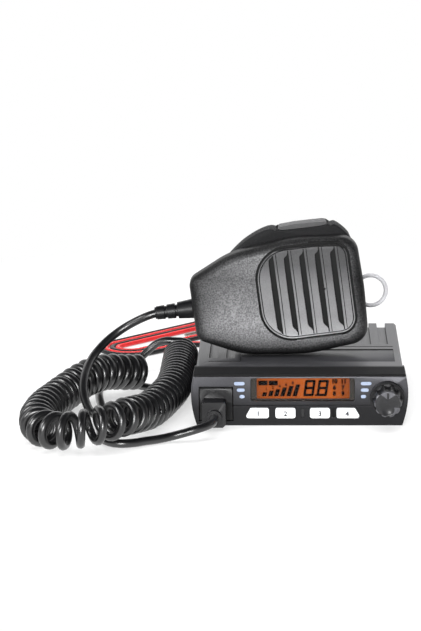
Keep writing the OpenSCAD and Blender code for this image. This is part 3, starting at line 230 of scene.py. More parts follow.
# The caps' side faces are much darker than their fronts, painted shade round each cap, and the caps glow a
# little: painted light
BUTTON = finish_of("button_cap", colour(246, 247, 248), colour(232, 234, 236), 0.35, grain=900, bump=0.03,
                   glow=0.3, along=[("Y", ((-51, 1.0), (-50.65, 1.0), (-50.4, 0.12), (-45, 0.12)))])
MARK = finish_of("button_ink", colour(52, 54, 60), colour(42, 44, 50), 0.5, bump=0.01)
PILL = finish_of("lit_window", colour(174, 186, 208), colour(152, 168, 196), 0.25, glow=0.12, bump=0.02)
MASK = finish_of("window_mask", colour(34, 34, 36), colour(27, 27, 29), 0.35, bump=0.02)
LENS = finish_of("dark_lens", colour(26, 26, 28), colour(16, 16, 18), 0.16, bump=0.01, clear=0.3)
AMBER = finish_of("amber_panel", colour(172, 88, 30), colour(146, 70, 22), 0.5, mottle=60, glow=0.3,
                  bump=0.02, gloss=0.1,
                  along=[("X", ((-22, 0.5), (-16, 0.85), (0, 1.0), (16, 0.95), (25, 0.55)))])
INK = finish_of("display_ink", colour(10, 4, 3), colour(6, 2, 1), 0.7, bump=0.01, gloss=0.05)
CLEAR = window_of("clear_window", (0.97, 0.95, 0.92, 1), 0.08, 0.004, 0.01)

# Finishes of the microphone, cords and inner pieces

# The shell's colour is brightest low on the face, darker across its middle and at its bottom edge, lighter
# again near the top, and darker on the rounded rim: painted light and shade
SHELL = finish_of("mic_plastic", colour(187, 187, 189), colour(127, 127, 129), 0.5, metal=0.75, grain=1400,
                  bump=0.6, bump_mm=0.15, fine_share=0.85,
                  along=[("Z", ((25, 0.35), (29, 0.6), (34, 1.0), (38, 0.95), (48, 0.58), (56, 0.42),
                                (63, 0.36), (69, 0.6), (76, 0.85), (80, 0.85))),
                         ("Y", ((-17.6, 1.0), (-17.4, 0.8), (-16.9, 0.36), (-15.6, 0.16), (-5, 0.1)))])
# The louvres are light at the bottom and darken steadily to the top: painted light and shade
LOUVRE = finish_of("louvre_plastic", colour(226, 226, 229), colour(202, 202, 204), 0.45, metal=0.75,
                   grain=1600, bump=0.2, bump_mm=0.1,
                   along=[("Z", ((25, 1.0), (34, 1.0), (37, 0.68), (45, 0.4), (55, 0.3), (62, 0.22),
                                 (70, 0.11), (80, 0.08)))])
# The rear shell's colour is darker towards its front, next to the parting: painted shade
REAR = finish_of("mic_rear_plastic", colour(66, 66, 69), colour(52, 52, 55), 0.68, grain=1600, bump=0.25,
                 gloss=0.3, fine_share=0.8, along=[("Y", ((-6, 0.2), (5, 0.3), (8.5, 1.0), (11, 1.0)))])
KEY = finish_of("key_rubber", colour(56, 56, 58), colour(42, 42, 44), 0.5, bump=0.2, index=1.8)
CHROME = finish_of("bright_ring", colour(214, 214, 217), colour(198, 198, 202), 0.5, metal=0.3, bump=0.02)
CORD = finish_of("cord_sleeve", colour(17, 17, 19), colour(10, 10, 12), 0.3, grain=1200, mottle=160,
                 index=1.8)
PLUG = finish_of("plug_plastic", colour(15, 15, 18), colour(10, 10, 13), 0.4, grain=1800, bump=0.1)
RED = finish_of("red_wire", colour(222, 44, 46), colour(194, 28, 32), 0.4, grain=900, mottle=120, bump=0.04)
BLACK = finish_of("black_wire", colour(30, 30, 32), colour(22, 22, 24), 0.4, grain=900, mottle=120, bump=0.04)
STEEL = finish_of("zinc_steel", colour(176, 176, 178), colour(146, 147, 150), 0.34, metal=1.0, bump=0.06)
BRASS = finish_of("gilt_contact", colour(214, 178, 96), colour(188, 150, 74), 0.28, metal=1.0, bump=0.03)
TIN = finish_of("tinned_copper", colour(196, 190, 182), colour(170, 160, 150), 0.4, metal=1.0, bump=0.2)
BOARD = finish_of("board_laminate", colour(44, 92, 62), colour(32, 72, 48), 0.5, bump=0.1)
CERAMIC = finish_of("dark_component", colour(54, 54, 58), colour(38, 38, 42), 0.5, bump=0.1)
PAPER = finish_of("cone_paper", colour(58, 56, 54), colour(42, 40, 38), 0.85, grain=1400, bump=0.5,
                  bump_mm=0.1)
NYLON = finish_of("pale_nylon", colour(226, 224, 216), colour(206, 204, 196), 0.45, bump=0.04)

FINISHES = {
    "chassis": CASE, "bottom_cover": CASE, "front_bezel": BEZEL, "display_window": CLEAR, "lcd_panel": AMBER,
    "lcd_light_guide": NYLON, "button_1": BUTTON, "button_2": BUTTON, "button_3": BUTTON, "button_4": BUTTON,
    "left_lights": PILL, "right_lights": PILL, "status_light": LENS, "tact_switches": CERAMIC,
    "front_board": BOARD, "main_board": BOARD, "shield_can": STEEL, "output_transistor": CERAMIC,
    "board_parts": CERAMIC, "channel_knob": KNOB, "knob_shaft": STEEL, "encoder_slider": NYLON,
    "encoder_housing": STEEL, "mic_socket": LENS, "speaker_frame": STEEL, "speaker_cone": PAPER,
    "speaker_magnet": CERAMIC, "antenna_socket": STEEL, "antenna_nut": STEEL, "antenna_insulator": NYLON,
    "antenna_contact": BRASS, "phone_socket": CERAMIC, "phone_nut": STEEL, "power_grommet": PLUG,
    "cover_screws": STEEL, "bezel_screws": STEEL, "board_screws": STEEL, "mic_capsule": CERAMIC,
    "capsule_boot": PLUG, "mic_board": BOARD, "talk_key": KEY, "talk_key_pin": STEEL, "talk_switch": CERAMIC,
    "mic_screws": STEEL, "hang_ring": CHROME, "mic_boot": PLUG, "mic_plug": PLUG, "plug_tongue": NYLON,
    "wire_tips": TIN,
}

# Shapes made here: lofts, prisms, cuts and eased edges

# Faces that meet at less than this many degrees are shaded as one
SMOOTH = 32.0
SHELL_SMOOTH = 38.0
# Pieces between two points of a drawn line, and in a small rounded corner
LINE_STEPS = 4


def ring_faces(rings, sides):
    """The faces of a closed skin over rings of corners."""
    faces = [tuple(range(sides))[::-1], tuple(range((rings - 1) * sides, rings * sides))]
    for r in range(rings - 1):
        for k in range(sides):
            n = (k + 1) % sides
            faces.append((r * sides + k, r * sides + n, (r + 1) * sides + n, (r + 1) * sides + k))
    return faces


def loft(name, rings):
    """A closed mesh through equal rings of points."""
    mesh = bpy.data.meshes.new(name)
    mesh.from_pydata([at(*p) for ring in rings for p in ring], [], ring_faces(len(rings), len(rings[0])))
    work = bmesh.new()
    work.from_mesh(mesh)
    bmesh.ops.recalc_face_normals(work, faces=work.faces)
    work.to_mesh(mesh)
    work.free()
    return link(name, mesh)


def prism(name, outline, y0, y1, place=None):
    """An outline seen from the front, drawn out from y0 to y1; place maps (x, y, z) to the part's frame."""
    place = place or (lambda x, y, z: Vector((x, y, z)))
    return loft(name, [[place(p[0], y, p[1]) for p in outline] for y in (y0, y1)])


def fillet(corners, steps):
    """A closed outline through corners (x, y, radius), each rounded by an arc."""
    made = []
    for i, (x, y, r) in enumerate(corners):
        corner = Vector((x, y))
        a = (Vector(corners[i - 1][:2]) - corner).normalized()
        b = (Vector(corners[(i + 1) % len(corners)][:2]) - corner).normalized()
        half = a.angle(b) / 2
        centre = corner + (a + b).normalized() * r / math.sin(half)
        start = corner + a * r / math.tan(half) - centre
        stop = corner + b * r / math.tan(half) - centre
        for k in range(steps + 1):
            made.append(centre + r * (start * (1 - k / steps) + stop * k / steps).normalized())
    return made


def box_outline(x0, x1, z0, z1):
    return [(x0, z0), (x1, z0), (x1, z1), (x0, z1)]


def rounded_box(x0, x1, z0, z1, r):
    return fillet([(x, z, r) for x, z in box_outline(x0, x1, z0, z1)], LINE_STEPS)


def circle(x, z, d, sides=32):
    return [Vector((x + d / 2 * math.cos(a), z + d / 2 * math.sin(a))) for a in angles(sides)]


def settle(obj):
    """Makes the modifiers' result the object's own mesh."""
    shown = obj.evaluated_get(bpy.context.evaluated_depsgraph_get())
    old = obj.data
    obj.data = bpy.data.meshes.new_from_object(shown)
    obj.modifiers.clear()
    bpy.data.meshes.remove(old)


def carve(obj, tool, way="DIFFERENCE"):
    """Cuts, joins or trims with another shape, which is then thrown away."""
    step = obj.modifiers.new("carve", "BOOLEAN")
    step.operation = way
    step.solver = "EXACT"
    step.object = tool
    settle(obj)
    bpy.data.objects.remove(tool)


def ease(obj, bevel, smooth=SMOOTH):
    """Rounds the sharp edges by bevel."""
    if bevel:
        step = obj.modifiers.new("eased_edges", "BEVEL")
        step.width = bevel * MM
        step.segments = 2
        step.limit_method = "ANGLE"
        step.angle_limit = math.radians(smooth)
        step.harden_normals = True


def show(obj, material, body, nodes=(), bevel=0.0, smooth=SMOOTH):
    """Gives a made shape its finish, smooth faces, eased edges, its body and the CAD nodes it stands for."""
    obj.data.materials.clear()
    obj.data.materials.append(material)
    for face in obj.data.polygons:
        face.use_smooth = True
    obj.data.set_sharp_from_angle(angle=math.radians(smooth))
    ease(obj, bevel, smooth)
    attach(obj, body)
    if nodes:
        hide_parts(*nodes)


def paint(obj, material, chosen):
    """Gives a further finish to the faces for whose middle (x, y, z) and normal chosen says yes."""
    obj.data.materials.append(material)
    slot = len(obj.data.materials) - 1
    for face in obj.data.polygons:
        x, y, z = face.center / MM
        if chosen(x, y + FRAME_Y, z, face.normal):
            face.material_index = slot


# Lines and tubes

# How far a curve's tangent follows the chord between its neighbours
PULL = 0.54


def spline(points, steps):
    """A smooth line through the points, with steps pieces between each two."""
    points = [Vector(p) for p in points]
    whole = [2 * points[0] - points[1], *points, 2 * points[-1] - points[-2]]
    made = []
    for i in range(len(points) - 1):
        a, b, c, d = whole[i : i + 4]
        leave = PULL * (c - a)
        arrive = PULL * (d - b)
        for k in range(steps):
            t = k / steps
            made.append((2 * t**3 - 3 * t**2 + 1) * b + (t**3 - 2 * t**2 + t) * leave
                        + (3 * t**2 - 2 * t**3) * c + (t**3 - t**2) * arrive)
    made.append(points[-1])
    return made


def smooth_line(pairs):
    """The same in a plane, as pairs of numbers."""
    return [(p.x, p.y) for p in spline([(a, b, 0) for a, b in pairs], LINE_STEPS)]


def tangents(points):
    last = len(points) - 1
    return [(points[min(i + 1, last)] - points[max(i - 1, 0)]).normalized() for i in range(last + 1)]


def left_of(way):
    return Vector((-way.y, way.x, 0)).normalized()


def tube(name, points, radius, sides, material):
    """An unbroken tube along the points, its ring of corners carried along without twisting."""
    ways = tangents(points)
    side = ways[0].orthogonal().normalized()
    verts = []
    for place, way in zip(points, ways):
        side = (side - way * side.dot(way)).normalized()
        other = way.cross(side)
        verts += [at(*(place + radius * (math.cos(a) * side + math.sin(a) * other))) for a in angles(sides)]
    mesh = bpy.data.meshes.new(name)
    mesh.from_pydata(verts, [], ring_faces(len(points), sides))
    for face in mesh.polygons:
        face.use_smooth = len(face.vertices) == 4
    mesh.materials.append(material)
    mesh.update()
    return link(name, mesh)


# The microphone's own frame: u along its length from the cord end, y from face to back, v to the key side

TILT = math.radians(7.3)
MIC_X, MIC_Y, MIC_Z = -51.2, 33.0, 47.2421


def mic_point(u, y, v):
    return Vector((MIC_X + u * math.cos(TILT) - v * math.sin(TILT), MIC_Y + y,
                   MIC_Z + u * math.sin(TILT) + v * math.cos(TILT)))


def mic_place(x, y, z):
    """The u, y and v of a place; undoes mic_point."""
    u = (x - MIC_X) * math.cos(TILT) + (z - MIC_Z) * math.sin(TILT)
    v = (z - MIC_Z) * math.cos(TILT) - (x - MIC_X) * math.sin(TILT)
    return u, y - MIC_Y, v


def mic_prism(name, outline, y0, y1):
    return prism(name, outline, y0, y1, mic_point)


def down_left(angle):
    """The way to the left that falls by an angle."""
    return Vector((-math.cos(angle), 0, -math.sin(angle)))


# The curly cord and its two leads, on the same routes as the solids and wound finer

CORD_D = 4.0
CORD_SIDES = 12
CURL_R = 7.0
# Height of the coil's axis over the table, its rise where the coil crosses a lead, and a lead's own height
TABLE_R = CURL_R + CORD_D / 2 + 0.2
LIFT = CORD_D + 0.6
LIE = CORD_D / 2 + 0.15
# Places of the coil's axis: x, y and the share of LIFT
CURL_AXIS = [
    (-78.5, 63.5, 0.05), (-86.1, 55.9, 0.45), (-93.6, 48.3, 0.92), (-100.6, 40.2, 1), (-107, 31.4, 0.65),
    (-112.4, 22, 0.25), (-116.6, 12, 0), (-119.4, 1.4, 0), (-120.9, -9.8, 0), (-121, -22, 0),
    (-117.2, -35.5, 0), (-106.2, -44.4, 0.3), (-91.6, -43.8, 0.8), (-80.8, -33.4, 1), (-75.4, -20.8, 0.55),
    (-71, -8.2, 0.1), (-67.6, 3.8, 0), (-64.8, 15.2, 0), (-62.5, 26.2, 0), (-61, 36.8, 0), (-60.3, 47.2, 0),
    (-60, 57.4, 0), (-60, 67.6, 0), (-60, 77.8, 0), (-60, 88, 0), (-60, 98.2, 0),
]
AXIS_SPANS = len(CURL_AXIS) - 1
CURL_TURNS = 2 * AXIS_SPANS + 0.5
CURL_STEPS = 48
LEAD_STEPS = 8


def curl():
    """The coil's centre line, wound round its axis."""
    axis = spline([(x, y, TABLE_R + rise * LIFT) for x, y, rise in CURL_AXIS], CURL_STEPS)
    last = len(axis) - 1
    made = []
    for i, (place, way) in enumerate(zip(axis, tangents(axis))):
        turn = math.radians(-90 - 360 * CURL_TURNS * i / last)
        left = left_of(way)
        made.append(place + CURL_R * (math.cos(turn) * left + math.sin(turn) * way.cross(left)))
    return made


def coil_way(first, second, side):
    """The strand's direction at an end of the coil whose axis runs from the first place to the second."""
    run = Vector((second[0] - first[0], second[1] - first[1], 0))
    way = run.normalized()
    pitch = run.length * AXIS_SPANS / CURL_TURNS
    return (pitch * way + side * 2 * math.pi * CURL_R * left_of(way)).normalized()


coil = curl()
start_way = coil_way(*CURL_AXIS[:2], -1)
end_way = coil_way(*CURL_AXIS[-2:], 1)
coil_start = coil[0] - CORD_D * start_way
coil_end = coil[-1] + CORD_D * end_way

# The end of the strain relief, how deep the lead starts in its mouth, how much more steeply it falls there
BOOT_U, BOOT_Y, BOOT_V = -18.9, 12.0, -1.1
LEAD_SUNK = 0.6
LEAD_FALL = math.radians(12)
LEAD_OUT = 1.25 * CORD_D
lead_from = mic_point(BOOT_U, BOOT_Y, BOOT_V) - LEAD_SUNK * down_left(TILT)
mic_lead = [
    lead_from, lead_from + LEAD_OUT * down_left(TILT + LEAD_FALL), (-79.2, 45.6, 39.6),
    (-84.6, 45.7, 36.5), (-89.5, 44.5, 33.3), (-93.6, 41.7, 30.4), (-97, 37.4, 27.6), (-99.8, 31.4, 24.8),
    (-101.6, 23.4, 21.9), (-102.4, 15, 18.7), (-102.2, 7.8, 15.2), (-100.9, 2, 11.8), (-98.6, -4, 9),
    (-95.4, -8.4, 7.6), (-90.5, -10, 6.6), (-85.6, -8.4, 5.4), (-82.5, -4.2, 4.2), (-81.4, 2.5, 3),
    (-80, 11, LIE), (-77.4, 22, LIE), (-74, 32.5, LIE), (-71.3, 42, LIE), (-69.9, 48.5, LIE),
    (-70.2, 53.7, LIE), coil_start - CORD_D * start_way, coil_start,
]
plug_lead = [
    (-39.9, -11.5, 7), (-39.9, -15.5, 7), (-40.6, -19.5, 6.9), (-43, -23.2, 6.6), (-47.2, -25.6, 5.8),
    (-52.8, -26.4, 4.3), (-58.5, -27, 2.9), (-64.5, -29.2, LIE), (-70.5, -32.4, LIE), (-76.5, -35.6, LIE),
    (-82.8, -36.4, LIE), (-88.4, -33, LIE), (-91.6, -25, LIE), (-92.8, -13, LIE), (-93.5, 0, LIE),
    (-94, 14, LIE), (-95.5, 28, LIE), (-97.5, 42, LIE), (-98.5, 56, LIE), (-97.5, 70, LIE), (-93.5, 82, LIE),
    (-87.6, 91.5, 3.2), (-82, 96.8, 6.4), (-77.2, 99, 10.6), (-72.6, 99.6, 14.4),
    coil_end + CORD_D * end_way, coil_end,
]
cord_line = spline(plug_lead, LEAD_STEPS) + coil[::-1] + spline(mic_lead, LEAD_STEPS)[::-1]
cord = tube("mic_cord", cord_line, CORD_D / 2, CORD_SIDES, CORD)
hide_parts("plug_lead", "curly_cord", "mic_lead")
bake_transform(cord)

# The pair of power wires, laid in a flat hank behind the radio

WIRE_D = 2.5
WIRE_SIDES = 10
WIRE_LIE = 1.3
# From the middle of the pair to the middle of a wire
WIRE_STEP = 1.425
HANK_MID = (-40, 193)
# Half a run, half the width at the outer end, and how much that half shrinks with each loop
HANK_RUN = 70.0
HANK_HALF_W = 16.0
HANK_STEP = 6.1
# Half a loop is counted as 3 places on its run and 9 on its bend, each drawn with 3 points
RUN_PLACES = 3
BEND_PLACES = 9
HALF_LOOP = RUN_PLACES + BEND_PLACES
PLACE_POINTS = 3
LAST_PLACE = 50
WAY_OUT_STEPS = 6
# The hank lies at 45 degrees to the radio
SLANT = math.sqrt(0.5)


def hank_point(place):
    """A place on the hank's loops, counted from the outer end."""
    half_w = HANK_HALF_W - HANK_STEP * place / (2 * HALF_LOOP)
    in_loop = place % (2 * HALF_LOOP)
    in_half = in_loop % HALF_LOOP
    if in_half <= RUN_PLACES:
        run, across = HANK_RUN - 2 * HANK_RUN * in_half / RUN_PLACES, -half_w
    else:
        turn = math.radians(180 * (in_half - RUN_PLACES) / BEND_PLACES)
        run, across = -HANK_RUN - half_w * math.sin(turn), -half_w * math.cos(turn)
    if in_loop >= HALF_LOOP:
        run, across = -run, -across
    return Vector((HANK_MID[0] + (run - across) * SLANT, HANK_MID[1] + (run + across) * SLANT, WIRE_LIE))


way_out = spline([(-32, 110, 9), (-32, 114, 9), (-32.5, 122, 6), (-33.5, 131, 2.2), (-36.5, 139.5, WIRE_LIE),
                  (-43, 146.5, WIRE_LIE), (-52, 150, WIRE_LIE), (-61, 147.6, WIRE_LIE),
                  hank_point(RUN_PLACES)], WAY_OUT_STEPS)
hank_places = range(RUN_PLACES * PLACE_POINTS + 1, LAST_PLACE * PLACE_POINTS + 1)
pair_line = way_out + [hank_point(k / PLACE_POINTS) for k in hank_places]


def power_wire(name, side, material, node):
    line = [p + side * WIRE_STEP * left_of(w) for p, w in zip(pair_line, tangents(pair_line))]
    wire = tube(name, line, WIRE_D / 2, WIRE_SIDES, material)
    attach(wire, "radio")
    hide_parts(node)


power_wire("red_wire_look", -1, RED, "power_wire_red")
power_wire("black_wire_look", 1, BLACK, "power_wire_black")

# Microphone shells, smoother than the solids

MIC_MID, MIC_HALF = 41.3, 28.8
# Where the two shells part, with a small chamfer on the front one
PARTING = 10.0
PARTING_H, PARTING_IN = 0.3, 0.25
WALL = 2.2
EDGE_ROUND = 5.2
EDGE_DEEP = 0.95 * EDGE_ROUND
EDGE_STEPS = 12
CROWN = 0.7
FACE_INSETS = (24, 19, 14.5, 11, 8, 6.4)
CORNER_STEPS = 14
FRONT_EASE, REAR_EASE = 0.14, 0.2
# Corners of one long side: u, half width and radius
MIC_SIDE = [(0, 14.9, 6), (21.4, MIC_HALF - 3.6, 40), (52.6, MIC_HALF, 70), (82.2, MIC_HALF - 2.9, 9)]
MIC_TIP = (83.2, 0, 90)
mic_outline = fillet([(u, -v, r) for u, v, r in MIC_SIDE] + [MIC_TIP] + MIC_SIDE[::-1], CORNER_STEPS)


def mic_ring(inset, y):
    """The microphone's outline, drawn in by inset."""
    return [mic_point(MIC_MID + (p.x - MIC_MID) * (1 - inset / MIC_MID), y, p.y * (1 - inset / MIC_HALF))
            for p in mic_outline]


def crown_at(inset):
    return -CROWN * (1 - ((MIC_HALF - inset) / (MIC_HALF - EDGE_ROUND)) ** 2)


NECK_R = 4.1
NECK_FROM, NECK_FRONT, NECK_REAR = -2, 4.5, 6


def neck(end_u):
    """The bore for the strain relief, from outside the cord end to end_u."""
    return loft("neck", [[mic_point(u, BOOT_Y + NECK_R * math.cos(a), BOOT_V + NECK_R * math.sin(a))
                          for a in angles(32)] for u in (NECK_FROM, end_u)])


edge_angles = [math.pi / 2 * (1 - k / EDGE_STEPS) for k in range(EDGE_STEPS + 1)]
face_rings = [(inset, crown_at(inset)) for inset in FACE_INSETS]
edge_rings = [(EDGE_ROUND * (1 - math.cos(a)), EDGE_DEEP * (1 - math.sin(a))) for a in edge_angles]
part_rings = [(0, PARTING - PARTING_H), (PARTING_IN, PARTING)]
front_shell = loft("mic_front_shell_look", [mic_ring(*r) for r in face_rings + edge_rings + part_rings])
hollow_rings = [(EDGE_ROUND + 1, WALL), (EDGE_ROUND / 2 + 0.4, 2.8), (WALL, 5.6), (WALL, PARTING + 1)]
carve(front_shell, loft("hollow", [mic_ring(*r) for r in hollow_rings]))

# The grille: two lines round it, louvre slots with a fine groove beside each, and a pinhole

GRILLE_LEFT, GRILLE_RIGHT, GRILLE_LOW, GRILLE_HIGH = 31.9, 78.2, -20.4, 26.2
GRILLE_R_LEFT, GRILLE_R_RIGHT = 16.0, 8.5
# Outer inset, inner inset and depth of each line
GRILLE_LINES = ((0, 1.2, 1.2), (1.7, 2.2, 0.7))
FIELD_INSET = 2.4
SLOT_COUNT, SLOT_FIRST, SLOT_PITCH = 5, 41.9, 7.4
SLOT_DEEP, LIP_DEEP = 1.3, 0.7
SLOT = [(-0.5, 27), (-0.5, 22.6), (-1.0, 21.6), (-2.3, 20.6), (-2.6, 19.6), (-2.75, 3.4), (-2.6, -12.8),
        (-2.2, -14), (-1.0, -15.4), (-0.5, -16.4), (-0.5, -22), (0, -22), (0.15, 2.5), (0, 27)]
LIP = [(0.95, -22), (1.3, -22), (1.45, 2.5), (1.3, 27), (0.95, 27), (1.1, 2.5)]
PINHOLE_U, PINHOLE_V, PINHOLE_D, PINHOLE_DEEP = 64.1, 3.2, 1.2, 3.4
# Cuts start in front of the face
CUT_FROM = -3


def grille(inset):
    """The grille's outline, drawn in by inset."""
    left, right = GRILLE_LEFT + inset, GRILLE_RIGHT - inset
    low, high = GRILLE_LOW + inset, GRILLE_HIGH - inset
    r_left, r_right = GRILLE_R_LEFT - inset, GRILLE_R_RIGHT - inset
    return fillet([(left, low, r_left), (right, low, r_right), (right, high, r_right), (left, high, r_left)],
                  CORNER_STEPS)


def grille_core(inset):
    return mic_prism("grille_core", grille(inset), CUT_FROM - 1, 2)


for outer, inner, deep in GRILLE_LINES:
    line = mic_prism("grille_line", grille(outer), CUT_FROM, deep)
    carve(line, grille_core(inner))
    carve(front_shell, line)
for k in range(SLOT_COUNT):
    slot_u = SLOT_FIRST + SLOT_PITCH * k
    for outline, deep in ((SLOT, SLOT_DEEP), (LIP, LIP_DEEP)):
        slot = mic_prism("grille_slot", [(slot_u + u, v) for u, v in outline], CUT_FROM, deep)
        carve(slot, grille_core(FIELD_INSET), "INTERSECT")
        carve(front_shell, slot)
carve(front_shell, mic_prism("pinhole", circle(PINHOLE_U, PINHOLE_V, PINHOLE_D, 16), CUT_FROM, PINHOLE_DEEP))
carve(front_shell, neck(NECK_FRONT))
show(front_shell, SHELL, "handset", ["mic_front_shell"], FRONT_EASE, SHELL_SMOOTH)

# Louvres reach down to LOUVRE_TO and the floors of slots and lines to GROOVE_TO
LOUVRE_TO, GROOVE_TO = 0.2, 1.6
border = grille(-0.05)


def in_grille(u, v):
    inside = False
    for a, b in zip(border, border[1:] + border[:1]):
        if (a.y > v) != (b.y > v) and u < a.x + (v - a.y) / (b.y - a.y) * (b.x - a.x):
            inside = not inside
    return inside


def is_groove(x, y, z, _):
    u, deep, v = mic_place(x, y, z)
    return LOUVRE_TO < deep < GROOVE_TO and in_grille(u, v)


def is_louvre(x, y, z, _):
    u, deep, v = mic_place(x, y, z)
    return deep <= LOUVRE_TO and in_grille(u, v)


# Painted shade on the floors of the slots and lines; the louvres get a finish with painted light and shade
paint(front_shell, GROOVE, is_groove)
paint(front_shell, LOUVRE, is_louvre)

# The rear shell: a bowl with the hump of the talk key, its slot and scoop, screw bores and the ring's staple

REAR_DEEP, REAR_CROWN, REAR_FLAT_INSET = 18.0, 0.25, 20
# Inset and share of the depth
rear_line = smooth_line([(0.4, 0), (2, 0.34), (4.4, 0.66), (7.6, 0.87), (12, 1)])
rear_rings = [(inset, PARTING + REAR_DEEP * share) for inset, share in rear_line]
rear_rings.append((REAR_FLAT_INSET, PARTING + REAR_DEEP + REAR_CROWN))
rear_shell = loft("mic_rear_shell_look", [mic_ring(*r) for r in rear_rings])

# The hump's outline from the middle of the key, with v counted from the shell's widest line
HUMP_U = 57.4
HUMP_FOOT = -6
HUMP = [(-38.1, -7.6), (-34, -4.1), (-29.3, -0.7), (-24.1, 2), (-19, 3.8), (-15.8, 4.3), (-14.2, 3.9),
        (-13.2, 3.4), (-12.4, 3.9), (-8, 4.3), (0, 4.6), (8, 4.5), (11, 4.1), (12.6, 3), (13.4, 2.5),
        (14.4, 2.7), (15.4, 2.6), (17.2, 1.3), (19.5, -1.1), (21.2, -3.4)]
HUMP_LEFT, HUMP_RIGHT = (-39.6, -11), (23.6, -11)
hump_line = [HUMP_LEFT, *smooth_line(HUMP), HUMP_RIGHT]
# Share of the hump's size at each y
HUMP_RINGS = ((0.955, 10.6), (0.975, 10.75), (0.99, 11.1), (1, 12), (1, 20.2), (0.985, 21.8), (0.95, 23.3),
              (0.91, 24))


def hump_ring(share, y):
    return [mic_point(HUMP_U + share * u, y, MIC_HALF + HUMP_FOOT + share * (v - HUMP_FOOT))
            for u, v in hump_line]


carve(rear_shell, loft("hump", [hump_ring(*r) for r in HUMP_RINGS]), "UNION")
# The hollow starts 1 mm outside the shell, and leaves a floor of 2.2 mm
hollow_deep = REAR_DEEP - WALL + 1
carve(rear_shell, loft("rear_hollow", [mic_ring(inset + WALL, PARTING - 1 + hollow_deep * share)
                                       for inset, share in rear_line]))

# Cuts in the rear shell, each with its reach in y
KEY_SLOT, KEY_SLOT_Y = (44.8, 69.6, 14.8, 38), (13, 21.6)
SCOOP = [(-13.8, 5.2), (-12.1, 3.7), (-9.9, 2.8), (0, 2.5), (9.6, 2.6), (11.7, 3.2), (13.4, 4.4)]
SCOOP_TOP, SCOOP_Y = 12, (9.6, 13.02)
SCREW_PLACES, SCREW_BORE, SCREW_Y = ((22, 0), (66, -12)), 5.4, (23.5, 30)
carve(rear_shell, mic_prism("key_slot", box_outline(*KEY_SLOT), *KEY_SLOT_Y))
scoop_line = [*smooth_line(SCOOP), (SCOOP[-1][0], SCOOP_TOP), (SCOOP[0][0], SCOOP_TOP)]
carve(rear_shell, mic_prism("scoop", [(HUMP_U + u, MIC_HALF + v) for u, v in scoop_line], *SCOOP_Y))
for u, v in SCREW_PLACES:
    carve(rear_shell, mic_prism("screw_bore", circle(u, v, SCREW_BORE), *SCREW_Y))

# The staple that holds the ring, and its eye
EYE_U, EYE_Y, EYE_R, EYE_V = 78.4, 26.8, 1.6, (-12, -2)
STAPLE, STAPLE_R, STAPLE_Y = (EYE_U - 2.5, EYE_U + 2.5, -8.7, -4.7), 0.8, (20, 29.5)
carve(rear_shell, mic_prism("staple", rounded_box(*STAPLE, STAPLE_R), *STAPLE_Y), "UNION")
carve(rear_shell, loft("staple_eye", [[mic_point(EYE_U + EYE_R * math.cos(a), EYE_Y + EYE_R * math.sin(a), v)
                                       for a in angles(24)] for v in EYE_V]))
carve(rear_shell, neck(NECK_REAR))
show(rear_shell, REAR, "handset", ["mic_rear_shell"], REAR_EASE, SHELL_SMOOTH)

# Solid pieces, each a dressed copy of its node

# Corners nearer than WELD, in metres, become one, and faces that meet flatter than FLAT are joined
WELD = 2e-6
FLAT = math.radians(1.0)
# How far each sharp edge is rounded
EASED = {
    "chassis": 0.12, "channel_knob": 0.25, "mic_plug": 0.35, "bottom_cover": 0.2, "talk_key": 0.3,
    "mic_boot": 0.2, "power_grommet": 0.3, "button_1": 0.2, "button_2": 0.2, "button_3": 0.2, "button_4": 0.2,
}


def dress(node):
    """A copy of a CAD node, welded and cleaned of needless edges, with eased edges and smooth round faces."""
    mesh = NODES[node].data.copy()
    mesh.name = node + "_look"
    work = bmesh.new()
    work.from_mesh(mesh)
    bmesh.ops.remove_doubles(work, verts=work.verts, dist=WELD)
    bmesh.ops.dissolve_limit(work, angle_limit=FLAT, verts=work.verts, edges=work.edges)
    work.to_mesh(mesh)
    work.free()
    obj = link(node + "_look", mesh)
    show(obj, FINISHES[node], BODY_OF[node], [node], EASED.get(node, 0.0))
    return obj


looks = {node: dress(node) for node in FINISHES}

# The bezel: a groove under its top edge and a slit by the status light, both painted with shade, and a top in
# the case's finish, which is painted dark there as shade

# The seam's cut runs past both ends, and both cuts start in front of the face
SEAM_HALF_W, BEFORE = 56, -2
SEAM_LOW, SEAM_HIGH, SEAM_DEEP = 23.8, 24.6, 0.8
SLIT_LEFT, SLIT_RIGHT, SLIT_LOW, SLIT_HIGH, SLIT_R, SLIT_DEEP = 15.4, 16.7, 3.9, 8.7, 0.6, 1.2
BEZEL_TOP, BEZEL_EASE = 24.9, 0.3
UPWARD, SIDEWAYS = 0.9, 0.3
# Faces painted with shade begin this far behind the bezel's face, and may lie this far past a cut
SEAM_FROM, SLIT_FROM = 0.02, 0.1
SEAM_SLACK, SLACK = 0.05, 0.1
bezel = looks["front_bezel"]
seam = [(BEFORE, SEAM_HIGH), (SEAM_DEEP, SEAM_HIGH), (SEAM_DEEP, SEAM_LOW), (BEFORE, SEAM_LOW)]
carve(bezel, loft("seam", [[Vector((x, y, z)) for y, z in seam] for x in (-SEAM_HALF_W, SEAM_HALF_W)]))
slit = rounded_box(SLIT_LEFT, SLIT_RIGHT, SLIT_LOW, SLIT_HIGH, SLIT_R)
carve(bezel, prism("slit", slit, BEFORE, SLIT_DEEP))


def in_bezel_cut(x, y, z, _):
    in_seam = SEAM_FROM < y < SEAM_DEEP + SLACK and SEAM_LOW - SEAM_SLACK < z < SEAM_HIGH + SEAM_SLACK
    beside = SLIT_LEFT - SLACK < x < SLIT_RIGHT + SLACK and SLIT_LOW - SLACK < z < SLIT_HIGH + SLACK
    return in_seam or (beside and SLIT_FROM < y < SLIT_DEEP + SLACK)


paint(bezel, GROOVE, in_bezel_cut)
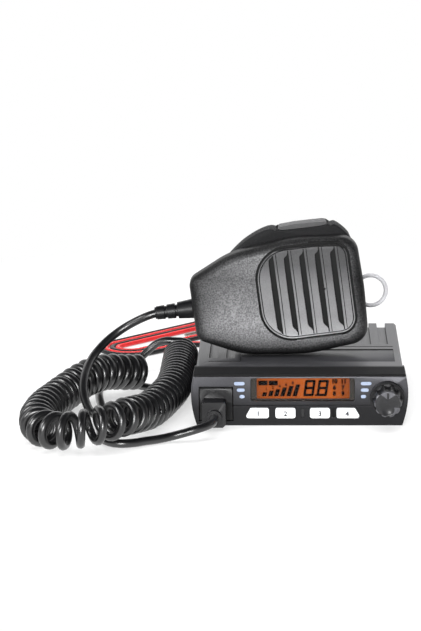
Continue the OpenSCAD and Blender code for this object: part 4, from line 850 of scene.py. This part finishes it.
# The bezel's top takes the case's finish, painted dark there as shade
paint(bezel, CASE, lambda x, y, z, normal: z > BEZEL_TOP and normal.z > UPWARD)
ease(bezel, BEZEL_EASE)

# Painted shade in the knob's finger dimple, part of a ball, and in its pointer

KNOB_X = 41
DIMPLE_Y, DIMPLE_DROP, DIMPLE_R = -18.2, 2.56, 6.02
POINTER_HALF_W, POINTER_LOW, POINTER_HIGH = 0.5, 2.4, 5.5
POINTER_FRONT, POINTER_BACK = -12.98, -12.3
knob = looks["channel_knob"]
knob_heights = [v.co.z / MM for v in knob.data.vertices]
knob_z = (min(knob_heights) + max(knob_heights)) / 2


def in_knob_mark(x, y, z, _):
    ball = Vector((x - KNOB_X, y - DIMPLE_Y, z - knob_z + DIMPLE_DROP))
    pointer = abs(x - KNOB_X) < POINTER_HALF_W and POINTER_LOW < z - knob_z < POINTER_HIGH
    return ball.length < DIMPLE_R or (pointer and POINTER_FRONT < y < POINTER_BACK)


paint(knob, DIMPLE_SHADE, in_knob_mark)

# Painted shade behind the plug's flange, and on the floors and walls between the roof's ribs

FLANGE_FRONT = -0.9
RIBS_HALF_W, RIBS_FRONT, RIBS_BACK = 47.5, 13, 98.5
RIB_WALL_LOW, RIB_WALL_HIGH = 22, 24.9
RIB_FLOOR_LOW, RIB_FLOOR_HIGH = 23.7, 24.1


def between_ribs(x, y, z, normal):
    on_roof = abs(x) < RIBS_HALF_W and RIBS_FRONT < y < RIBS_BACK
    if abs(normal.z) < SIDEWAYS:
        return on_roof and RIB_WALL_LOW < z < RIB_WALL_HIGH
    return on_roof and RIB_FLOOR_LOW < z < RIB_FLOOR_HIGH


paint(looks["mic_plug"], GROOVE, lambda x, y, z, normal: y > FLANGE_FRONT)
paint(looks["chassis"], GROOVE, between_ribs)

# Display: a dark mask round the lit field, and dark figures on it

MASK_BOX, MASK_FRONT, MASK_BACK = (-22.8, 25.8, 12.05, 23.15), 1.75, 2.1
FIELD, FIELD_R = (-20.1, 23.5, 12.75, 22.6), 0.5
INK_FRONT, INK_BACK = 2.28, 2.36
INK_MID = (INK_FRONT + INK_BACK) / 2
BASE_Z = 13.8
mask = prism("display_mask", box_outline(*MASK_BOX), MASK_FRONT, MASK_BACK)
carve(mask, prism("field", rounded_box(*FIELD, FIELD_R), MASK_FRONT - 0.75, MASK_BACK + 0.9))
show(mask, MASK, "radio")


def figures(name, outlines):
    """Many thin inked shapes in one piece."""
    verts, faces = [], []
    for outline in outlines:
        n, first = len(outline), len(verts)
        verts += [at(x, y, z) for y in (INK_FRONT, INK_BACK) for x, z in outline]
        faces += [tuple(first + i for i in face[::-1]) for face in ring_faces(2, n)]
    mesh = bpy.data.meshes.new(name)
    mesh.from_pydata(verts, [], faces)
    mesh.materials.append(INK)
    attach(link(name, mesh), "radio")


DIGIT_W, DIGIT_H, DIGIT_LEAN, DIGIT_BAR = 4.9, 7.9, 0.14, 1.2


def seven(left):
    """The seven bars of one leaning figure eight."""
    half, t = DIGIT_H / 2, DIGIT_BAR
    bars = [box_outline(0.3 * t, DIGIT_W - 0.3 * t, low, low + t) for low in (0, half - t / 2, DIGIT_H - t)]
    for low, high in ((0.25 * t, half - 0.1), (half + 0.1, DIGIT_H - 0.25 * t)):
        bars += [box_outline(0, t, low, high), box_outline(DIGIT_W - t, DIGIT_W, low, high)]
    return [[(left + x + DIGIT_LEAN * z, BASE_Z + z) for x, z in bar] for bar in bars]


METER_BARS = ((-16.7, 1.9), (-13.8, 2.7), (-11.0, 3.4), (-8.1, 4.3), (-5.2, 5.0), (-2.3, 5.7))
METER_HALF_W, METER_LEAN = 1.0, 0.3


def meter_bar(x, tall):
    """A leaning bar of the signal meter."""
    left, right, lean = x - METER_HALF_W, x + METER_HALF_W, METER_LEAN * tall
    return [(left, BASE_Z), (right, BASE_Z), (right + lean, BASE_Z + tall), (left + lean, BASE_Z + tall)]


# Two blocks over the meter, two digits and the point between them
BLOCKS = ((-19.3, -15.0, 19.1, 21.3), (-14.4, -10.2, 19.1, 21.3))
DIGITS = (1.7, 7.9)
POINT = (7.2, 8.0, 13.9, 14.7)
ink = [box_outline(*block) for block in BLOCKS] + [meter_bar(*bar) for bar in METER_BARS]
ink += [bar for left in DIGITS for bar in seven(left)] + [box_outline(*POINT)]
figures("display_figures", ink)

LETTER_THICK = 0.03


def lettering(name, text, x, y, z, size, bold, material, body):
    """Plain figures drawn with the built-in typeface, facing the front."""
    curve = bpy.data.curves.new(name, "FONT")
    curve.body = text
    curve.size = size * MM
    curve.extrude = LETTER_THICK * MM
    curve.offset = bold * MM
    curve.align_x = "CENTER"
    curve.align_y = "CENTER"
    maker = link(name + "_maker", curve)
    mesh = bpy.data.meshes.new_from_object(maker.evaluated_get(bpy.context.evaluated_depsgraph_get()))
    bpy.data.objects.remove(maker)
    mesh.transform(Matrix.Translation(at(x, y, z)) @ Matrix.Rotation(math.pi / 2, 4, "X"))
    mesh.materials.clear()
    mesh.materials.append(material)
    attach(link(name, mesh), body)


# Figures of the meter's scale and of the display's right side: text, x and z
SCALE_FIGURES = (("1", -15.6, 17.2), ("2", -12.5, 17.9), ("4", -9.3, 18.6), ("6", -6.3, 19.4),
                 ("8", -3.2, 20.2))
SIDE_FIGURES = (("10", 16.4, 20.9), ("11", 20.7, 20.9), ("6", 16.4, 17.9), ("7", 20.4, 17.9),
                ("8", 16.4, 15.0), ("9", 20.4, 15.0))
BUTTON_X = (-19.4, -6.6, 9.6, 22.4)
BUTTON_Z, BUTTON_FACE = 6.0, -0.91
SCALE_SIZE, SCALE_BOLD = 2.0, 0.06
SIDE_SIZE, SIDE_BOLD = 2.7, 0.2
MARK_SIZE, MARK_BOLD = 3.3, 0.1
for k, (text, x, z) in enumerate(SCALE_FIGURES, 1):
    lettering(f"scale_figure_{k}", text, x, INK_MID, z, SCALE_SIZE, SCALE_BOLD, INK, "radio")
for k, (text, x, z) in enumerate(SIDE_FIGURES, 1):
    lettering(f"side_figure_{k}", text, x, INK_MID, z, SIDE_SIZE, SIDE_BOLD, INK, "radio")
for k, x in enumerate(BUTTON_X, 1):
    lettering(f"button_mark_{k}", str(k), x, BUTTON_FACE, BUTTON_Z, MARK_SIZE, MARK_BOLD, MARK, f"button_{k}")

# Floor, light and camera, in metres

WHITE = (1, 1, 1, 1)


def floor_finish():
    """Pale and matte; white to the camera away from the object, and a lit table in reflections."""
    mat = bpy.data.materials.new("pale_floor")
    tree = cleared(mat)
    ray = tree.nodes.new("ShaderNodeLightPath").outputs
    ground = coordinates(tree, "Object")
    axes = axes_of(tree, ground)
    # To the camera: whiter further from the object, so that the shadow stays
    away = add(tree, "ShaderNodeVectorMath", ground, operation="LENGTH")
    far = span_of(tree, away.outputs["Value"], 0.14, 0.36, 0.55, 1.0)
    seen = math_of(tree, "MULTIPLY", ray["Is Camera Ray"], far)
    # In reflections: brightest behind and close in front, dimmer to the sides and far in front
    middle = span_of(tree, math_of(tree, "ABSOLUTE", axes["X"]), 0.12, 0.3, 1.0, 0.3)
    near = span_of(tree, axes["Y"], -0.55, -0.12, 0.3, 1.0)
    back = span_of(tree, axes["Y"], 0.05, 0.3, 0.0, 1.0)
    mirrored = math_of(tree, "MAXIMUM", math_of(tree, "MULTIPLY", middle, near), back)
    strength = math_of(tree, "MAXIMUM", ray["Is Camera Ray"], mirrored)
    share = math_of(tree, "MAXIMUM", seen, ray["Is Glossy Ray"])
    matte = add(tree, "ShaderNodeBsdfDiffuse", Color=(0.9, 0.9, 0.9, 1), Roughness=0.6)
    lit = add(tree, "ShaderNodeEmission", Color=WHITE, Strength=strength)
    add(tree, "ShaderNodeOutputMaterial", mix_of(tree, share, matte.outputs["BSDF"], lit.outputs["Emission"]))
    return mat


def studio():
    """A white sweep behind the table that fades into a dark ceiling; the camera sees plain white."""
    world = bpy.data.worlds.new("studio")
    tree = cleared(world)
    ray = tree.nodes.new("ShaderNodeLightPath").outputs
    axes = axes_of(tree, coordinates(tree, "Generated"))
    sweep = span_of(tree, axes["Z"], 0.3, 0.75, 0.95, 0.05, "SMOOTHSTEP")
    behind = span_of(tree, axes["Y"], -0.1, 0.55, 0.3, 1.0)
    glossy = span_of(tree, ray["Is Glossy Ray"], 0, 1, 0.14, 1.0)
    level = math_of(tree, "MULTIPLY", math_of(tree, "MULTIPLY", sweep, behind), glossy)
    ambient = add(tree, "ShaderNodeBackground", Color=WHITE, Strength=level)
    plain = add(tree, "ShaderNodeBackground", Color=WHITE, Strength=1.0)
    seen = mix_of(tree, ray["Is Camera Ray"], ambient.outputs["Background"], plain.outputs["Background"])
    add(tree, "ShaderNodeOutputWorld", seen)
    return world


def softbox(name, place, aim, width, height, power):
    data = bpy.data.lights.new(name, "AREA")
    data.shape = "RECTANGLE"
    data.size = width
    data.size_y = height
    data.energy = power
    obj = link(name, data)
    obj.location = place
    obj.rotation_mode = "QUATERNION"
    obj.rotation_quaternion = (Vector(aim) - Vector(place)).to_track_quat("-Z", "Y")
    return obj


FLOOR_HALF = 4
FLOOR_GAP = 0.00002
floor_mesh = bpy.data.meshes.new("floor")
floor_corners = [(x, y, 0) for x, y in box_outline(-FLOOR_HALF, FLOOR_HALF, -FLOOR_HALF, FLOOR_HALF)]
floor_mesh.from_pydata(floor_corners, [], [(0, 1, 2, 3)])
floor_mesh.materials.append(floor_finish())
floor = link("floor", floor_mesh)
floor.location.z = -FLOOR_GAP
bpy.context.scene.world = studio()
# Place, aim, width, height and watts of each lamp
softbox("back_light", (-0.1, 1.3, 0.8), (0, 0, 0), 1.4, 0.4, 3)
softbox("front_light", (-0.25, -1.4, 0.28), (0, 0, 0.03), 0.5, 0.35, 14)
softbox("left_light", (-1.0, -0.5, 0.6), (-0.05, 0, 0.02), 0.4, 0.5, 7)
softbox("rear_fill", (0.4, 1.3, 0.7), (0, 0, 0.03), 1.0, 0.6, 26).visible_glossy = False
softbox("top_light", (0, 0.1, 1.6), (0, 0, 0), 2.0, 2.0, 42).visible_glossy = False

# The camera stands where the photograph was taken from
SENSOR_MM, LENS_MM = 36, 141.39
NEAREST, FURTHEST = 0.05, 20
CAMERA_PLACE = (-0.00269, -1.17175, 0.32639)
YAW, PITCH, ROLL = (math.radians(a) for a in (-1.977, 13.666, -0.559))
camera_data = bpy.data.cameras.new("camera")
camera_data.sensor_width = SENSOR_MM
camera_data.sensor_fit = "AUTO"
camera_data.lens = LENS_MM
camera_data.clip_start = NEAREST
camera_data.clip_end = FURTHEST
camera = link("camera", camera_data)
ahead = Vector((math.sin(YAW) * math.cos(PITCH), math.cos(YAW) * math.cos(PITCH), -math.sin(PITCH)))
level = Vector((math.cos(YAW), -math.sin(YAW), 0))
above = level.cross(ahead)
right = level * math.cos(ROLL) + above * math.sin(ROLL)
upright = above * math.cos(ROLL) - level * math.sin(ROLL)
camera.matrix_world = Matrix((right, upright, -ahead)).transposed().to_4x4()
camera.location = CAMERA_PLACE
bpy.context.scene.camera = camera
bpy.context.scene.view_settings.view_transform = "Standard"
